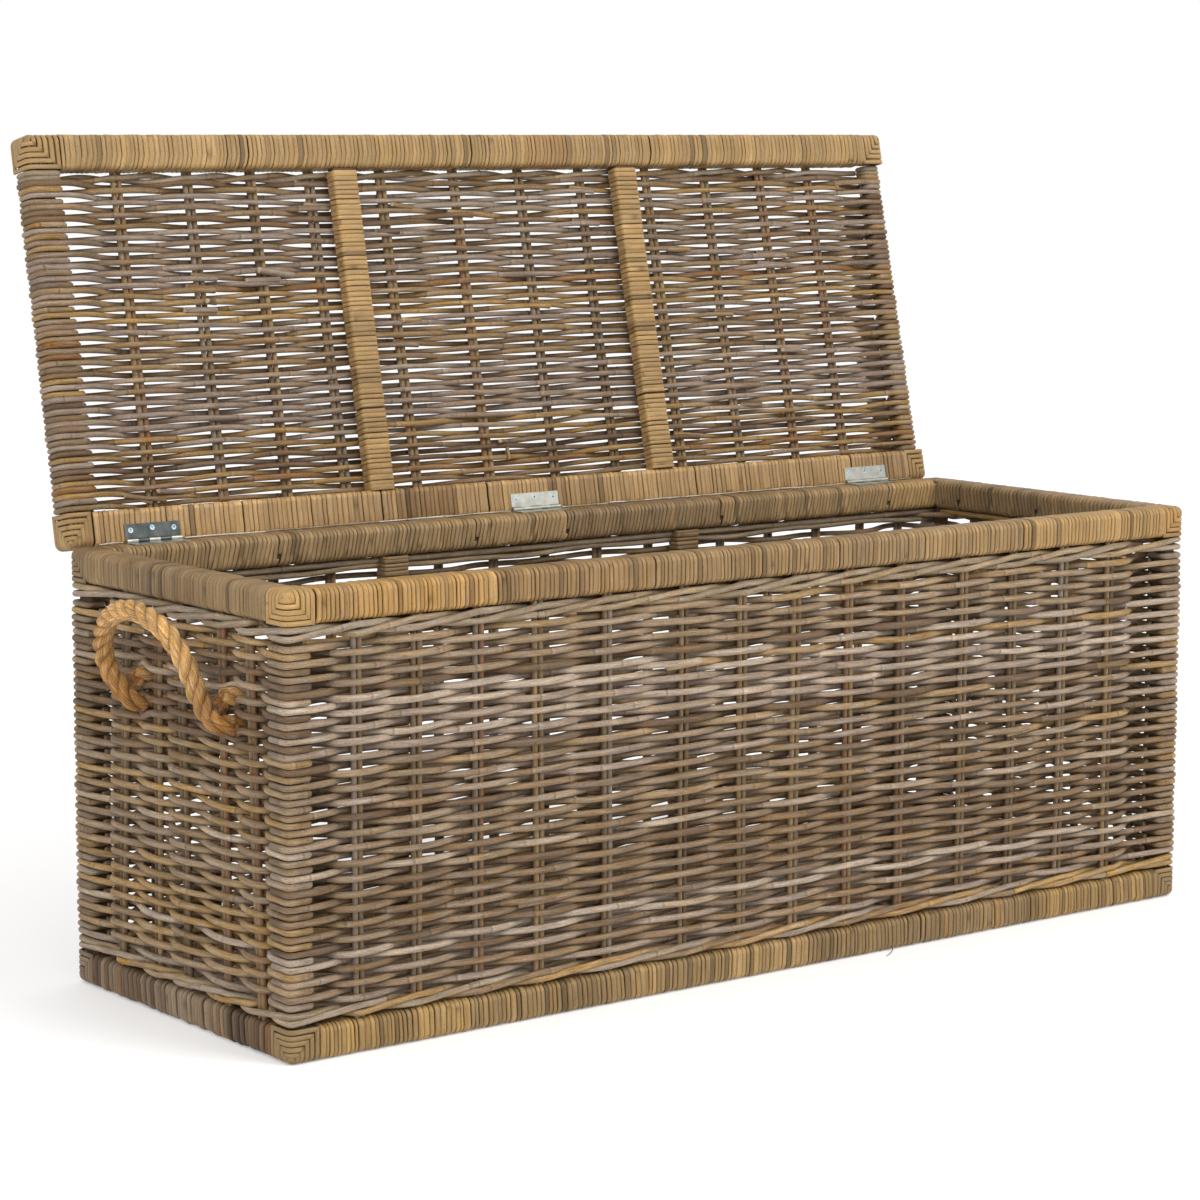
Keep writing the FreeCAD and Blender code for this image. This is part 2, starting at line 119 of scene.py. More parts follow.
PLINTH = [((128, 108, 84), .26), ((150, 134, 112), .24), ((98, 80, 62), .22), ((150, 114, 76), .10), ((174, 162, 144), .18)]
# brightness of each colour table; lidweave is set darker than weave as painted shade, for the extra light the lid gets
# in this scene
DEPTH = dict(weave=(.742, .655, .567), lidweave=(0.635, 0.57, 0.53), wale=(.74, .69, .62), stake=(.74, .68, .62), strip=(.64, .55, .485),
             base=(.565, .495, .42), gold=(.66, .57, .48), grey=(.63, .53, .405), lidstrip=(.655, .575, .505), bar=(.655, .57, .50),
             plinth=(.595, .51, .428), lidrear=(.705, .61, .565), rimback=(.63, .555, .515))


def pal(table, depth):
    return np.array([lin(c) for c, _ in table]) * depth, np.array([w for _, w in table]) / sum(w for _, w in table)


PALS = {k: pal(v, DEPTH[k]) for k, v in dict(weave=WEAVE, wale=WALE, stake=STAKE, strip=STRIP, gold=STRIP_GOLD,
                                             grey=STRIP_GREY, lidstrip=LIDSTRIP, plinth=PLINTH, base=STRIP, bar=LIDSTRIP,
                                             lidweave=LIDWEAVE, lidrear=LIDSTRIP, rimback=STRIP).items()}


def pick(rng, name):
    cols, w = PALS[name]
    return cols[rng.choice(len(cols), p=w)] * rng.uniform(0.9, 1.1)


# ---------------------------------------------------------------------------
# strands: one swept tube each, many to a mesh
# ---------------------------------------------------------------------------
def circle(k, flat=1.0):
    a = (np.arange(k) + 0.5) * 2 * np.pi / k - np.pi / 2
    return np.stack([np.cos(a), flat * np.sin(a)], 1)


ROUND8 = circle(8)
STRIP6 = np.array([(-1, -0.75), (1, -0.75), (0.98, 0.38), (0.62, 0.95), (-0.62, 0.95), (-0.98, 0.38)], float)


def cum(P):
    return np.concatenate([[0], np.cumsum(np.linalg.norm(np.diff(P, axis=0), axis=1))])


def norm(v):
    return v / np.maximum(np.linalg.norm(v, axis=-1, keepdims=True), 1e-12)


class Bag:
    """Collects strands and makes one mesh of them."""

    def __init__(self):
        self.strands = []

    def add(self, P, R, up, C, prof=ROUND8, Rh=None, closed=False, caps=(True, True), cut=None):
        self.strands.append((np.asarray(P, float), R, up, C, prof, Rh, closed, caps, cut))

    def mesh(self, name, rng, xf=None):
        V, C, F4, UV, AT, F3, UV3, AT3 = [], [], [], [], [], [], [], []
        base = 0
        charts = []
        for (P, R, up, col, prof, Rh, closed, caps, cut) in self.strands:
            n, K = len(P), len(prof)
            R = np.broadcast_to(np.asarray(R, float), (n,))
            Rh = R if Rh is None else np.broadcast_to(np.asarray(Rh, float), (n,))
            col = np.broadcast_to(np.asarray(col, float), (n, 3))
            if closed:
                T = norm(np.roll(P, -1, 0) - np.roll(P, 1, 0))
            else:
                T = norm(np.gradient(P, axis=0))
            A = np.broadcast_to(np.asarray(up, float), (n, 3))
            V1 = norm(A - (A * T).sum(1, keepdims=True) * T)
            V2 = np.cross(T, V1)
            ring = P[:, None, :] + (prof[None, :, 0] * R[:, None])[..., None] * V2[:, None, :] \
                + (prof[None, :, 1] * Rh[:, None])[..., None] * V1[:, None, :]
            L = cum(P)
            cc = np.repeat(col[:, None, :], K, 1)
            if not closed:
                extra, ec, el = [], [], []
                tip = lin(cut) if cut is not None else None
                rings, cols, lens = [ring], [cc], [L]
                if caps[0]:
                    r0 = P[0] - T[0] * R[0] * 0.30
                    small = r0 + (ring[0] - P[0]) * 0.72
                    rings.insert(0, small[None]); lens.insert(0, [L[0] - R[0] * 0.4])
                    cols.insert(0, (cc[0] if tip is None else 0.4 * cc[0] + 0.6 * tip)[None])
                if caps[1]:
                    r1 = P[-1] + T[-1] * R[-1] * 0.30
                    small = r1 + (ring[-1] - P[-1]) * 0.72
                    rings.append(small[None]); lens.append([L[-1] + R[-1] * 0.4])
                    cols.append((cc[-1] if tip is None else 0.4 * cc[-1] + 0.6 * tip)[None])
                ring = np.concatenate(rings)
                cc = np.concatenate(cols)
                L = np.concatenate([np.asarray(x, float) for x in lens])
                n = len(ring)
            V.append(ring.reshape(-1, 3)); C.append(cc.reshape(-1, 3))
            i = np.arange(n if closed else n - 1)
            j = np.arange(K)
            I, J = np.meshgrid(i, j, indexing="ij")
            I2, J2 = (I + 1) % n, (J + 1) % K
            quads = np.stack([I * K + J, I2 * K + J, I2 * K + J2, I * K + J2], -1).reshape(-1, 4) + base
            F4.append(quads)
            per = np.concatenate([[0], np.cumsum(np.linalg.norm(np.roll(prof, -1, 0) - prof, axis=1))]) * float(np.mean(R))
            Lc = np.append(L, L[-1] + np.linalg.norm(P[0] - P[-1])) if closed else L
            ou, ov = rng.uniform(0, 40), rng.uniform(0, 40)
            u0, u1 = Lc[I], Lc[I + 1]
            v0, v1 = per[J], per[J + 1]
            uv = np.stack([np.stack([u0, v0], -1), np.stack([u1, v0], -1), np.stack([u1, v1], -1), np.stack([u0, v1], -1)], 2)
            UV.append(uv.reshape(-1, 2) * MM + [ou, ov])
            charts.append((len(AT), Lc[-1] - Lc[0], per[-1], Lc[0], u0.reshape(-1), u1.reshape(-1), v0.reshape(-1), v1.reshape(-1)))
            AT.append(None)
            first = base
            base += n * K
            if not closed:
                for end in (0, 1):
                    if not caps[end]:
                        continue
                    row = 0 if end == 0 else n - 1
                    c = ring[row].mean(0)
                    V.append(c[None]); C.append(cc[row].mean(0, keepdims=True))
                    a, b = row * K + j, row * K + (j + 1) % K
                    tri = np.stack([np.full(K, base), first + a, first + b], 1) if end == 0 else \
                        np.stack([np.full(K, base), first + b, first + a], 1)
                    F3.append(tri)
                    cu = np.zeros((K, 3, 2)) + [ou, ov]
                    q = prof * R[0] * MM
                    cu[:, 1] += q[j] if end == 0 else q[(j + 1) % K]
                    cu[:, 2] += q[(j + 1) % K] if end == 0 else q[j]
                    UV3.append(cu.reshape(-1, 2))
                    AT3.append((len(charts) - 1, K, float(R[0]) * float(np.abs(prof).max()), cu.reshape(-1, 2) - [ou, ov]))
                    base += 1
        # atlas: strips laid out in rows
        total = sum((c[1] + 3) * (c[2] * 1.15 + 0.4) for c in charts)
        W = max(60.0, math.sqrt(total) * 1.02)
        x = y = rowh = 0.0
        for c in charts:
            k, ln, circ, l0, u0, u1, v0, v1 = c
            h = circ * 1.15 + 0.4
            if ln > W:
                if x > 0:
                    x, y, rowh = 0.0, y + rowh, 0.0
                step = W * 0.94
                chunk = np.floor((u0 - l0) / step)
                off = y + chunk * h
                uu0, uu1 = u0 - l0 - chunk * step, u1 - l0 - chunk * step
                rows = int(np.floor(ln / step)) + 1
                y += rows * h
                x, rowh = 0.0, 0.0
                place = (0.0, y - h)
            else:
                if x + ln + 3 > W:
                    x, y, rowh = 0.0, y + rowh, 0.0
                off = np.full(u0.shape, y)
                uu0, uu1 = u0 - l0 + x, u1 - l0 + x
                place = (x, y)
                x += ln + 3
                rowh = max(rowh, h)
            vv0, vv1 = v0 + off + 0.1, v1 + off + 0.1
            AT[k] = np.stack([np.stack([uu0, vv0], -1), np.stack([uu1, vv0], -1), np.stack([uu1, vv1], -1),
                              np.stack([uu0, vv1], -1)], 1).reshape(-1, 2)
            charts[k] = c + (place,)
        y += rowh
        capuv = []
        cx = cy = 0.0
        side = 2.4 * max([a[2] for a in AT3], default=1.0)
        for (k, K, r, cu) in AT3:
            if cx + side > W:
                cx, cy = 0.0, cy + side
            capuv.append(cu / MM + [cx + side / 2, y + cy + side / 2])
            cx += side
        if AT3:
            y += cy + side
        atlas = np.concatenate([np.concatenate(AT)] + capuv) / [W * 1.01 + 2, y * 1.002 + 1]
        V = np.concatenate(V)
        if xf is not None:
            V = xf(V)
        C = np.concatenate(C)
        q = np.concatenate(F4)
        t = np.concatenate(F3) if F3 else np.zeros((0, 3), int)
        uv = np.concatenate(UV + UV3)
        me = bpy.data.meshes.new(name)
        me.vertices.add(len(V))
        me.vertices.foreach_set("co", (V * MM).astype(np.float32).ravel())
        loops = np.concatenate([q.ravel(), t.ravel()])
        me.loops.add(len(loops))
        me.loops.foreach_set("vertex_index", loops.astype(np.int32))
        me.polygons.add(len(q) + len(t))
        start = np.concatenate([np.arange(len(q)) * 4, len(q) * 4 + np.arange(len(t)) * 3])
        me.polygons.foreach_set("loop_start", start.astype(np.int32))
        me.polygons.foreach_set("use_smooth", np.ones(len(q) + len(t), bool))
        for lname, data in (("strand", uv), ("OFBake", atlas)):
            layer = me.uv_layers.new(name=lname)
            layer.data.foreach_set("uv", data.astype(np.float32).ravel())
        at = me.color_attributes.new("Col", "FLOAT_COLOR", "POINT")
        at.data.foreach_set("color", np.concatenate([np.clip(C, 0, 1), np.ones((len(C), 1))], 1).astype(np.float32).ravel())
        me.update()
        me.validate()
        return me


made = {}


def piece(name, bag, rng, mat, body, slot, replaces=(), xf=None):
    me = bag.mesh(name, rng, xf)
    me.materials.append(mat)
    ob = bpy.data.objects.new(name, me)
    bpy.context.scene.collection.objects.link(ob)
    if body:
        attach(ob, body)
    if replaces:
        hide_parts(*replaces)
    made[name] = sum(len(p.vertices) - 2 for p in me.polygons) if False else len(me.polygons)
    return ob


def two_pieces(name, bag, *rest, **kw):
    """A weave of over 200,000 triangles, made as two meshes, because the export thins a finer one."""
    h = len(bag.strands) // 2
    for tag, part in (("a", bag.strands[:h]), ("b", bag.strands[h:])):
        b2 = Bag()
        b2.strands = part
        piece("%s_%s" % (name, tag), b2, *rest, **kw)


# ---------------------------------------------------------------------------
# materials
# ---------------------------------------------------------------------------
def cane_material(name, rough, streak, blotch, bump, along, around, speck=0.5, coat=0.0, flat=None, sheen=0.0, spec=0.25,
                  specks=(0.66, 0.74), hue=(0.78, 1.18)):
    """Cane or fibre: colour from the strand, long streaks along it, blotches, dark specks, fine grain bump."""
    mat = bpy.data.materials.new(name)
    mat.use_nodes = True
    nt = mat.node_tree
    nt.nodes.clear()
    N = nt.nodes.new
    K = nt.links.new
    out = N("ShaderNodeOutputMaterial")
    bs = N("ShaderNodeBsdfPrincipled")
    K(bs.outputs[0], out.inputs[0])
    uv = N("ShaderNodeUVMap"); uv.uv_map = "strand"
    if flat is None:
        col = N("ShaderNodeAttribute"); col.attribute_name = "Col"
        colour = col.outputs["Color"]
        vec = uv.outputs[0]
    else:
        rgb = N("ShaderNodeRGB"); rgb.outputs[0].default_value = (*flat, 1)
        colour = rgb.outputs[0]
        tc = N("ShaderNodeTexCoord")
        vec = tc.outputs["Object"]

    def scaled(sx, sy, sz=1.0):
        mp = N("ShaderNodeMapping")
        mp.inputs["Scale"].default_value = (sx, sy, sz)
        K(vec, mp.inputs["Vector"])
        return mp.outputs[0]

    def noise(v, detail=3.0, rough_=0.55, dist=0.0):
        t = N("ShaderNodeTexNoise")
        t.inputs["Scale"].default_value = 1.0
        t.inputs["Detail"].default_value = detail
        t.inputs["Roughness"].default_value = rough_
        t.inputs["Distortion"].default_value = dist
        K(v, t.inputs["Vector"])
        return t.outputs["Fac"]

    def ramp(f, a, b, lo, hi):
        r = N("ShaderNodeMapRange")
        r.inputs["From Min"].default_value, r.inputs["From Max"].default_value = a, b
        r.inputs["To Min"].default_value, r.inputs["To Max"].default_value = lo, hi
        K(f, r.inputs["Value"])
        return r.outputs[0]

    def mul(a, b):
        x = N("ShaderNodeMath"); x.operation = "MULTIPLY"
        K(a, x.inputs[0]); K(b, x.inputs[1])
        return x.outputs[0]

    s1 = noise(scaled(along, around, around), 3.0, 0.6)
    s2 = noise(scaled(along * 0.35, around * 0.22, around * 0.22), 2.0, 0.5)
    s3 = noise(scaled(420, 900, 900), 1.0, 0.5)
    f1 = ramp(s1, 0.3, 0.7, 1.0 - streak, 1.0 + streak)
    f2 = ramp(s2, 0.3, 0.7, 1.0 - blotch, 1.0 + blotch)
    f3 = ramp(s3, *specks, 1.0, 1.0 - speck)
    f = mul(mul(f1, f2), f3)
    mx = N("ShaderNodeMix"); mx.data_type = "RGBA"; mx.blend_type = "MULTIPLY"
    mx.inputs[0].default_value = 1.0
    K(colour, mx.inputs[6])
    cmb = N("ShaderNodeCombineColor")
    for i in range(3):
        K(f, cmb.inputs[i])
    K(cmb.outputs[0], mx.inputs[7])
    # greying where the second noise is high
    hs = N("ShaderNodeHueSaturation")
    K(mx.outputs[2], hs.inputs["Color"])
    K(ramp(noise(scaled(along * 0.6, around * 0.3, around * 0.3), 2.0), 0.35, 0.65, *hue), hs.inputs["Saturation"])
    K(hs.outputs[0], bs.inputs["Base Color"])
    K(ramp(s1, 0.3, 0.7, rough - 0.08, rough + 0.1), bs.inputs["Roughness"])
    bs.inputs["Specular IOR Level"].default_value = spec
    if coat:
        bs.inputs["Coat Weight"].default_value = coat
        bs.inputs["Coat Roughness"].default_value = 0.35
    if sheen:
        bs.inputs["Sheen Weight"].default_value = sheen
    b = N("ShaderNodeBump")
    b.inputs["Strength"].default_value = 1.0
    b.inputs["Distance"].default_value = bump * MM
    K(s1, b.inputs["Height"])
    K(b.outputs[0], bs.inputs["Normal"])
    return mat


M_WEAVE = cane_material("kubu_weave", 0.60, 0.36, 0.24, 0.42, 75, 1300, 0.42, specks=(0.56, 0.68))
M_STAKE = cane_material("stake_rods", 0.62, 0.26, 0.18, 0.30, 60, 1400, 0.5, hue=(0.7, 1.02))
M_STRIP = cane_material("rattan_strip", 0.48, 0.22, 0.13, 0.22, 60, 1900, 0.5, spec=0.30, specks=(0.62, 0.72), hue=(0.9, 1.1))
M_ROPE = cane_material("manila_rope", 0.88, 0.50, 0.22, 0.5, 130, 2600, 0.45, sheen=0.08, spec=0.1)
M_CORE = cane_material("frame_cane", 0.7, 0.2, 0.15, 0.3, 30, 600, 0.4, flat=lin((84, 64, 44)))


def zinc_material(name, c0, c1, r0, r1):
    mat = bpy.data.materials.new(name)
    mat.use_nodes = True
    nt = mat.node_tree
    bs = next(n for n in nt.nodes if n.type == "BSDF_PRINCIPLED")
    N, K = nt.nodes.new, nt.links.new
    tc = N("ShaderNodeTexCoord")
    a = N("ShaderNodeTexNoise"); a.inputs["Scale"].default_value = 90.0; a.inputs["Detail"].default_value = 4.0
    K(tc.outputs["Object"], a.inputs["Vector"])
    mp = N("ShaderNodeMapping"); mp.inputs["Scale"].default_value = (60, 2500, 2500)
    K(tc.outputs["Object"], mp.inputs["Vector"])
    b = N("ShaderNodeTexNoise"); b.inputs["Scale"].default_value = 1.0; b.inputs["Detail"].default_value = 2.0
    K(mp.outputs[0], b.inputs["Vector"])
    r = N("ShaderNodeValToRGB")
    r.color_ramp.elements[0].position, r.color_ramp.elements[0].color = 0.3, (*lin(c0), 1)
    r.color_ramp.elements[1].position, r.color_ramp.elements[1].color = 0.7, (*lin(c1), 1)
    K(a.outputs["Fac"], r.inputs["Fac"])
    K(r.outputs[0], bs.inputs["Base Color"])
    bs.inputs["Metallic"].default_value = 1.0
    q = N("ShaderNodeMapRange")
    q.inputs["From Min"].default_value, q.inputs["From Max"].default_value = 0.3, 0.7
    q.inputs["To Min"].default_value, q.inputs["To Max"].default_value = r0, r1
    K(b.outputs["Fac"], q.inputs["Value"])
    K(q.outputs[0], bs.inputs["Roughness"])
    bp = N("ShaderNodeBump"); bp.inputs["Distance"].default_value = 0.00003
    K(b.outputs["Fac"], bp.inputs["Height"])
    K(bp.outputs[0], bs.inputs["Normal"])
    return mat


M_ZINC = zinc_material("zinc_plate", (158, 158, 150), (194, 192, 182), 0.30, 0.46)
M_ZINC_DULL = zinc_material("zinc_plate_dull", (62, 66, 66), (98, 102, 100), 0.34, 0.5)
M_SCREW = zinc_material("zinc_screw", (150, 178, 192), (214, 226, 232), 0.16, 0.3)


# ---------------------------------------------------------------------------
# strand colour and thickness along its length
# ---------------------------------------------------------------------------
def resample(P, step, extra=(), fine=None):
    """Points along polyline P about step apart, with more at the distances in extra."""
    L = cum(P)
    n = max(2, int(round(L[-1] / step)))
    at = [np.linspace(0, L[-1], n + 1)]
    for e in extra:
        at.append(np.array([e - 2.2, e - 0.9, e, e + 0.9, e + 2.2]))
    if fine is not None:
        at.append(fine)
    at = np.unique(np.round(np.concatenate(at), 2))
    at = at[(at >= 0) & (at <= L[-1])]
    keep = np.concatenate([[True], np.diff(at) > 0.5])
    at = at[keep]
    return np.stack([np.interp(at, L, P[:, k]) for k in range(3)], 1), at


def looks(at, rng, table, base=None, r=3.1, gap=(70, 230), mixing=0.36, nodes=None):
    """Colours and radii at distances at, with nodes in the cane."""
    if nodes is None:
        nodes = []
        x = rng.uniform(0, gap[1])
        while x < at[-1]:
            nodes.append(x)
            x += rng.uniform(*gap)
    base = pick(rng, table) if base is None else base
    edges = np.array([-1e9] + list(nodes) + [1e9])
    cols = np.array([base * (1 - k) + pick(rng, table) * k for k in rng.uniform(0, mixing, len(edges) - 1)])
    idx = np.clip(np.searchsorted(edges, at, side="right") - 1, 0, len(cols) - 1)
    C = cols[idx]
    wave = np.zeros(len(at))
    for _ in range(3):
        wave += np.sin(at * 2 * np.pi / rng.uniform(40, 260) + rng.uniform(0, 6.28)) * 0.035
    C = C * (1 + wave)[:, None]
    R = np.full(len(at), r) * (1 + 0.03 * np.sin(at * 2 * np.pi / rng.uniform(120, 400) + rng.uniform(0, 6.28)))
    for x in nodes:
        d = at - x
        k = np.exp(-(d / 1.0) ** 2)
        C = C * (1 - 0.42 * k)[:, None] * (1 + 0.22 * np.exp(-((d - 2.2) / 1.3) ** 2))[:, None]
        R = R * (1 + 0.07 * np.exp(-(d / 1.6) ** 2))
    return C, R


def node_list(length, rng, gap=(70, 230)):
    out, x = [], rng.uniform(0, gap[1])
    while x < length - 4:
        out.append(x)
        x += rng.uniform(*gap)
    return out


# ---------------------------------------------------------------------------
# woven panels
# ---------------------------------------------------------------------------
class Panel:
    """A weave in the plane of S (along the rows) and T (across them), N outward. Origin on the mid-plane."""

    def __init__(self, O, S, N, T):
        self.O, self.S, self.N, self.T = (np.asarray(v, float) for v in (O, S, N, T))

    def at(self, s, n, t):
        s, n, t = np.broadcast_arrays(np.asarray(s, float), np.asarray(n, float), np.asarray(t, float))
        return self.O + s[..., None] * self.S + n[..., None] * self.N + t[..., None] * self.T


def smooth_through(s, anchors):
    """Cosine-smooth values through anchor points (s, value)."""
    a = np.array(anchors, float)
    i = np.clip(np.searchsorted(a[:, 0], s, side="right") - 1, 0, len(a) - 2)
    u = np.clip((s - a[i, 0]) / np.maximum(a[i + 1, 0] - a[i, 0], 1e-9), 0, 1)
    k = 0.5 - 0.5 * np.cos(np.pi * u)
    return a[i, 1] * (1 - k) + a[i + 1, 1] * k


def arc(cx, cy, r, a0, a1, n=7):
    a = np.radians(np.linspace(a0, a1, n))
    return [(cx + r * math.cos(x), cy + r * math.sin(x)) for x in a]


def post_ring(s0, s1, n0, n1, r=6.0):
    """Closed path round a post, in (s, n): s0<s1, n0<n1 are the path's own extremes."""
    pts = []
    pts += arc(s1 - r, n1 - r, r, 0, 90)
    pts += arc(s0 + r, n1 - r, r, 90, 180)
    pts += arc(s0 + r, n0 + r, r, 180, 270)
    pts += arc(s1 - r, n0 + r, r, 270, 360)
    return np.array(pts)


def densify(pts, closed=False, step=2.5):
    out = []
    n = len(pts)
    for i in range(n if closed else n - 1):
        a, b = pts[i], pts[(i + 1) % n]
        k = max(1, int(np.linalg.norm(b - a) // step))
        for j in range(k):
            out.append(a + (b - a) * j / k)
    if not closed:
        out.append(pts[-1])
    return np.array(out)


def weave(bag, cols_bag, panel, stakes, rows, left, right, rng, d=6.2, amp=6.0, parity=0, warp=None,
          splices=0.0, table="weave", jitter=0.5, row_base=None, sag=0.0, spread=(0.90, 1.08), shade=0.30):
    """rows: list of t. stakes: list of functions of t (or numbers). left/right: dicts for the ends:
    kind 'post' (winds round the post on the rows where it is outside, hooks behind it on the others) or
    'tuck' (ends behind at s, n). sag: how far a strand lies higher in front of a stake than midway."""
    ns = len(stakes)
    field_k = rng.uniform(0, 6.28, 6)
    base = None
    for i, t0 in enumerate(rows):
        sk = [f(t0) if callable(f) else float(f) for f in stakes]
        sign = [1 if (i + k + parity) % 2 == 0 else -1 for k in range(-1, ns + 1)]
        a = amp + rng.uniform(-0.5, 0.5, ns + 2)
        dd = d * rng.uniform(*spread)
        anchors = []
        for k in range(ns):
            v = sign[k + 1] * (a[k + 1] + (dd - d) / 2)
            anchors += [(sk[k] - 6.4, v), (sk[k] + 6.4, v)]
        for side, E in (("l", left), ("r", right)):
            sg = sign[0] if side == "l" else sign[-1]
            m_ = -1 if side == "l" else 1
            if E["kind"] == "post":
                edge = E["edge"]          # s of the post ring's inner extreme
                if sg > 0:
                    add = [(edge, E["n1"]), (edge + m_ * 8, E["n1"])]
                elif E["closed"]:
                    add = [(edge + m_ * rng.uniform(2.0, 4.5), E["n_in"])]
                else:
                    add = [(edge - m_ * 2.0, E["n0"]), (edge + m_ * rng.uniform(8, 13), E["n0"])]
            else:
                hook = E["s"] + m_ * rng.uniform(-1.5, 1.5)
                add = [(hook, E["n"] + rng.uniform(-2, 2))]
            if side == "l":
                anchors = sorted(add) + anchors
            else:
                anchors = anchors + sorted(add)
        s_lo, s_hi = anchors[0][0], anchors[-1][0]
        s = np.arange(s_lo, s_hi, 2.0)
        s = np.append(s, s_hi)
        n = smooth_through(s, anchors)
        wob = (np.sin(s / 83 + field_k[0] + t0 / 60) + np.sin(s / 41 + field_k[1] - t0 / 45)) * 0.55 \
            + np.sin(s / 190 + field_k[2]) * 0.9
        own = smooth_through(s, [(x, rng.normal(0, jitter)) for x in np.linspace(s_lo - 1, s_hi + 1, max(4, int((s_hi - s_lo) / 55)))])
        fade = np.ones(len(s))
        if left["kind"] == "post":
            fade *= np.clip((s - s_lo) / 70, 0, 1)
        if right["kind"] == "post":
            fade *= np.clip((s_hi - s) / 70, 0, 1)
        t = t0 + (wob + own) * fade + sag * np.clip(n / amp, -1, 1) * np.clip(fade * 4, 0, 1)
        if warp is not None:
            t = warp(s, t)
        P = panel.at(s, n, t)
        for side, E in (("l", left), ("r", right)):
            if E["kind"] != "post":
                continue
            sg = sign[0] if side == "l" else sign[-1]
            ring = E.get("ring")
            te = t[0] if side == "l" else t[-1]
            tt = te + rng.uniform(-0.25, 0.25)
            if sg > 0:
                # goes on round the post: outer face, side face, then inside
                q = E["wrap"]            # (s, n) from the outer face onward to the inside
                out = np.clip(np.arange(len(q)) / 4.0, 0, 1)
                W = panel.at(q[:, 0] + (-1 if side == "l" else 1) * out * rng.uniform(-0.5, 1.7), q[:, 1] + out * rng.uniform(-0.2, 0.6),
                             np.linspace(te, tt, len(q)))
                P = np.concatenate([W[::-1], P]) if side == "l" else np.concatenate([P, W])
            elif E["closed"]:
                q = densify(ring, True, 3.2)
                ph = np.linspace(0, 2 * np.pi, len(q), endpoint=False)
                tilt = rng.uniform(-0.9, 0.9)
                R_ = panel.at(q[:, 0] + rng.uniform(-0.8, 0.8), q[:, 1] + rng.uniform(-0.5, 0.3), t0 + 0.55 * (te - t0) + tilt * np.sin(ph))
                L_ = cum(R_)
                c_, r_ = looks(L_, rng, table, None, dd / 2 * rng.uniform(1.0, 1.14), (60, 180), 0.35)
                cols_bag.add(R_, r_, panel.T, c_, closed=True)
        L = cum(P)
        if row_base is not None:
            base = row_base[i]
        else:
            base = pick(rng, table) if base is None or rng.random() < 0.62 else base * rng.uniform(0.94, 1.06)
        pieces = [(0.0, L[-1])]
        if splices and rng.random() < splices:
            cutk = rng.integers(1, max(2, ns - 1))
            if sign[cutk + 1] > 0:
                x = np.interp(sk[cutk] + rng.uniform(14, 26), s, L[-len(s):] if right["kind"] != "post" or sign[-1] < 0 else
                              L[len(L) - len(s) - (len(right["wrap"]) if right["kind"] == "post" and sign[-1] > 0 else 0):
                                len(L) - (len(right["wrap"]) if right["kind"] == "post" and sign[-1] > 0 else 0)])
                pieces = [(0.0, x), (x - rng.uniform(26, 40), L[-1])]
        for pi, (x0, x1) in enumerate(pieces):
            inside = (L > x0) & (L < x1)
            Q = np.concatenate([[np.array([np.interp(x0, L, P[:, c]) for c in range(3)])], P[inside],
                                [np.array([np.interp(x1, L, P[:, c]) for c in range(3)])]])
            nl = node_list(x1 - x0, rng)
            LQ = cum(Q)
            # finer where it turns the corner
            fine = []
            for side, E in (("l", left), ("r", right)):
                if E["kind"] == "post" and (sign[0] if side == "l" else sign[-1]) > 0:
                    w = E["span"]
                    if side == "l" and x0 == 0:
                        fine.append(np.arange(0, w, 2.2))
                    if side == "r" and x1 == L[-1]:
                        fine.append(np.arange(LQ[-1] - w, LQ[-1], 2.2))
            Q, at = resample(Q, 6.2, nl, np.concatenate(fine) if fine else None)
            b = base if pi == 0 else pick(rng, table)
            C, R = looks(at, rng, table, b, dd / 2, nodes=nl)
            # painted shade: each strand's colour is darkened where it passes behind the stakes, in the recesses of the
            # weave
            deep = np.clip(-((Q - panel.O) @ panel.N) / amp, 0, 1)
            C = C * (1 - shade * deep)[:, None]
            if len(pieces) > 1:
                # the old end stands a little proud, the new one starts beneath it
                if pi == 0:
                    e = np.clip(1 - (at[-1] - at) / 30, 0, 1) ** 2
                    Q = Q + e[:, None] * (panel.N * 1.6 + panel.T * 1.4)
                else:
                    e = np.clip(1 - at / 55, 0, 1) ** 2
                    Q = Q - e[:, None] * (panel.T * 4.2 + panel.N * 3.0)
            cols_bag_target = bag
            cols_bag_target.add(Q, R, panel.T, C, cut=(196, 178, 146))
    return


def stake_rods(bag, panel, stakes, t0, t1, rng, r=3.0, spread=3.25):
    for f in stakes:
        for o in (-spread, spread):
            t = np.arange(t0, t1 + 0.1, 7.0)
            base = np.array([f(x) if callable(f) else float(f) for x in t])
            n = 0.35 * np.sin(t / 37 + rng.uniform(0, 6)) + rng.uniform(-0.3, 0.3)
            s = base + o + 0.35 * np.sin(t / 61 + rng.uniform(0, 6))
            P = panel.at(s, n, t)
            nl = node_list(t1 - t0, rng, (90, 260))
            P, at = resample(P, 12.0, nl)
            C, R = looks(at, rng, "stake", None, r * rng.uniform(0.94, 1.05), nodes=nl, mixing=0.4)
            bag.add(P, R, panel.N, C)


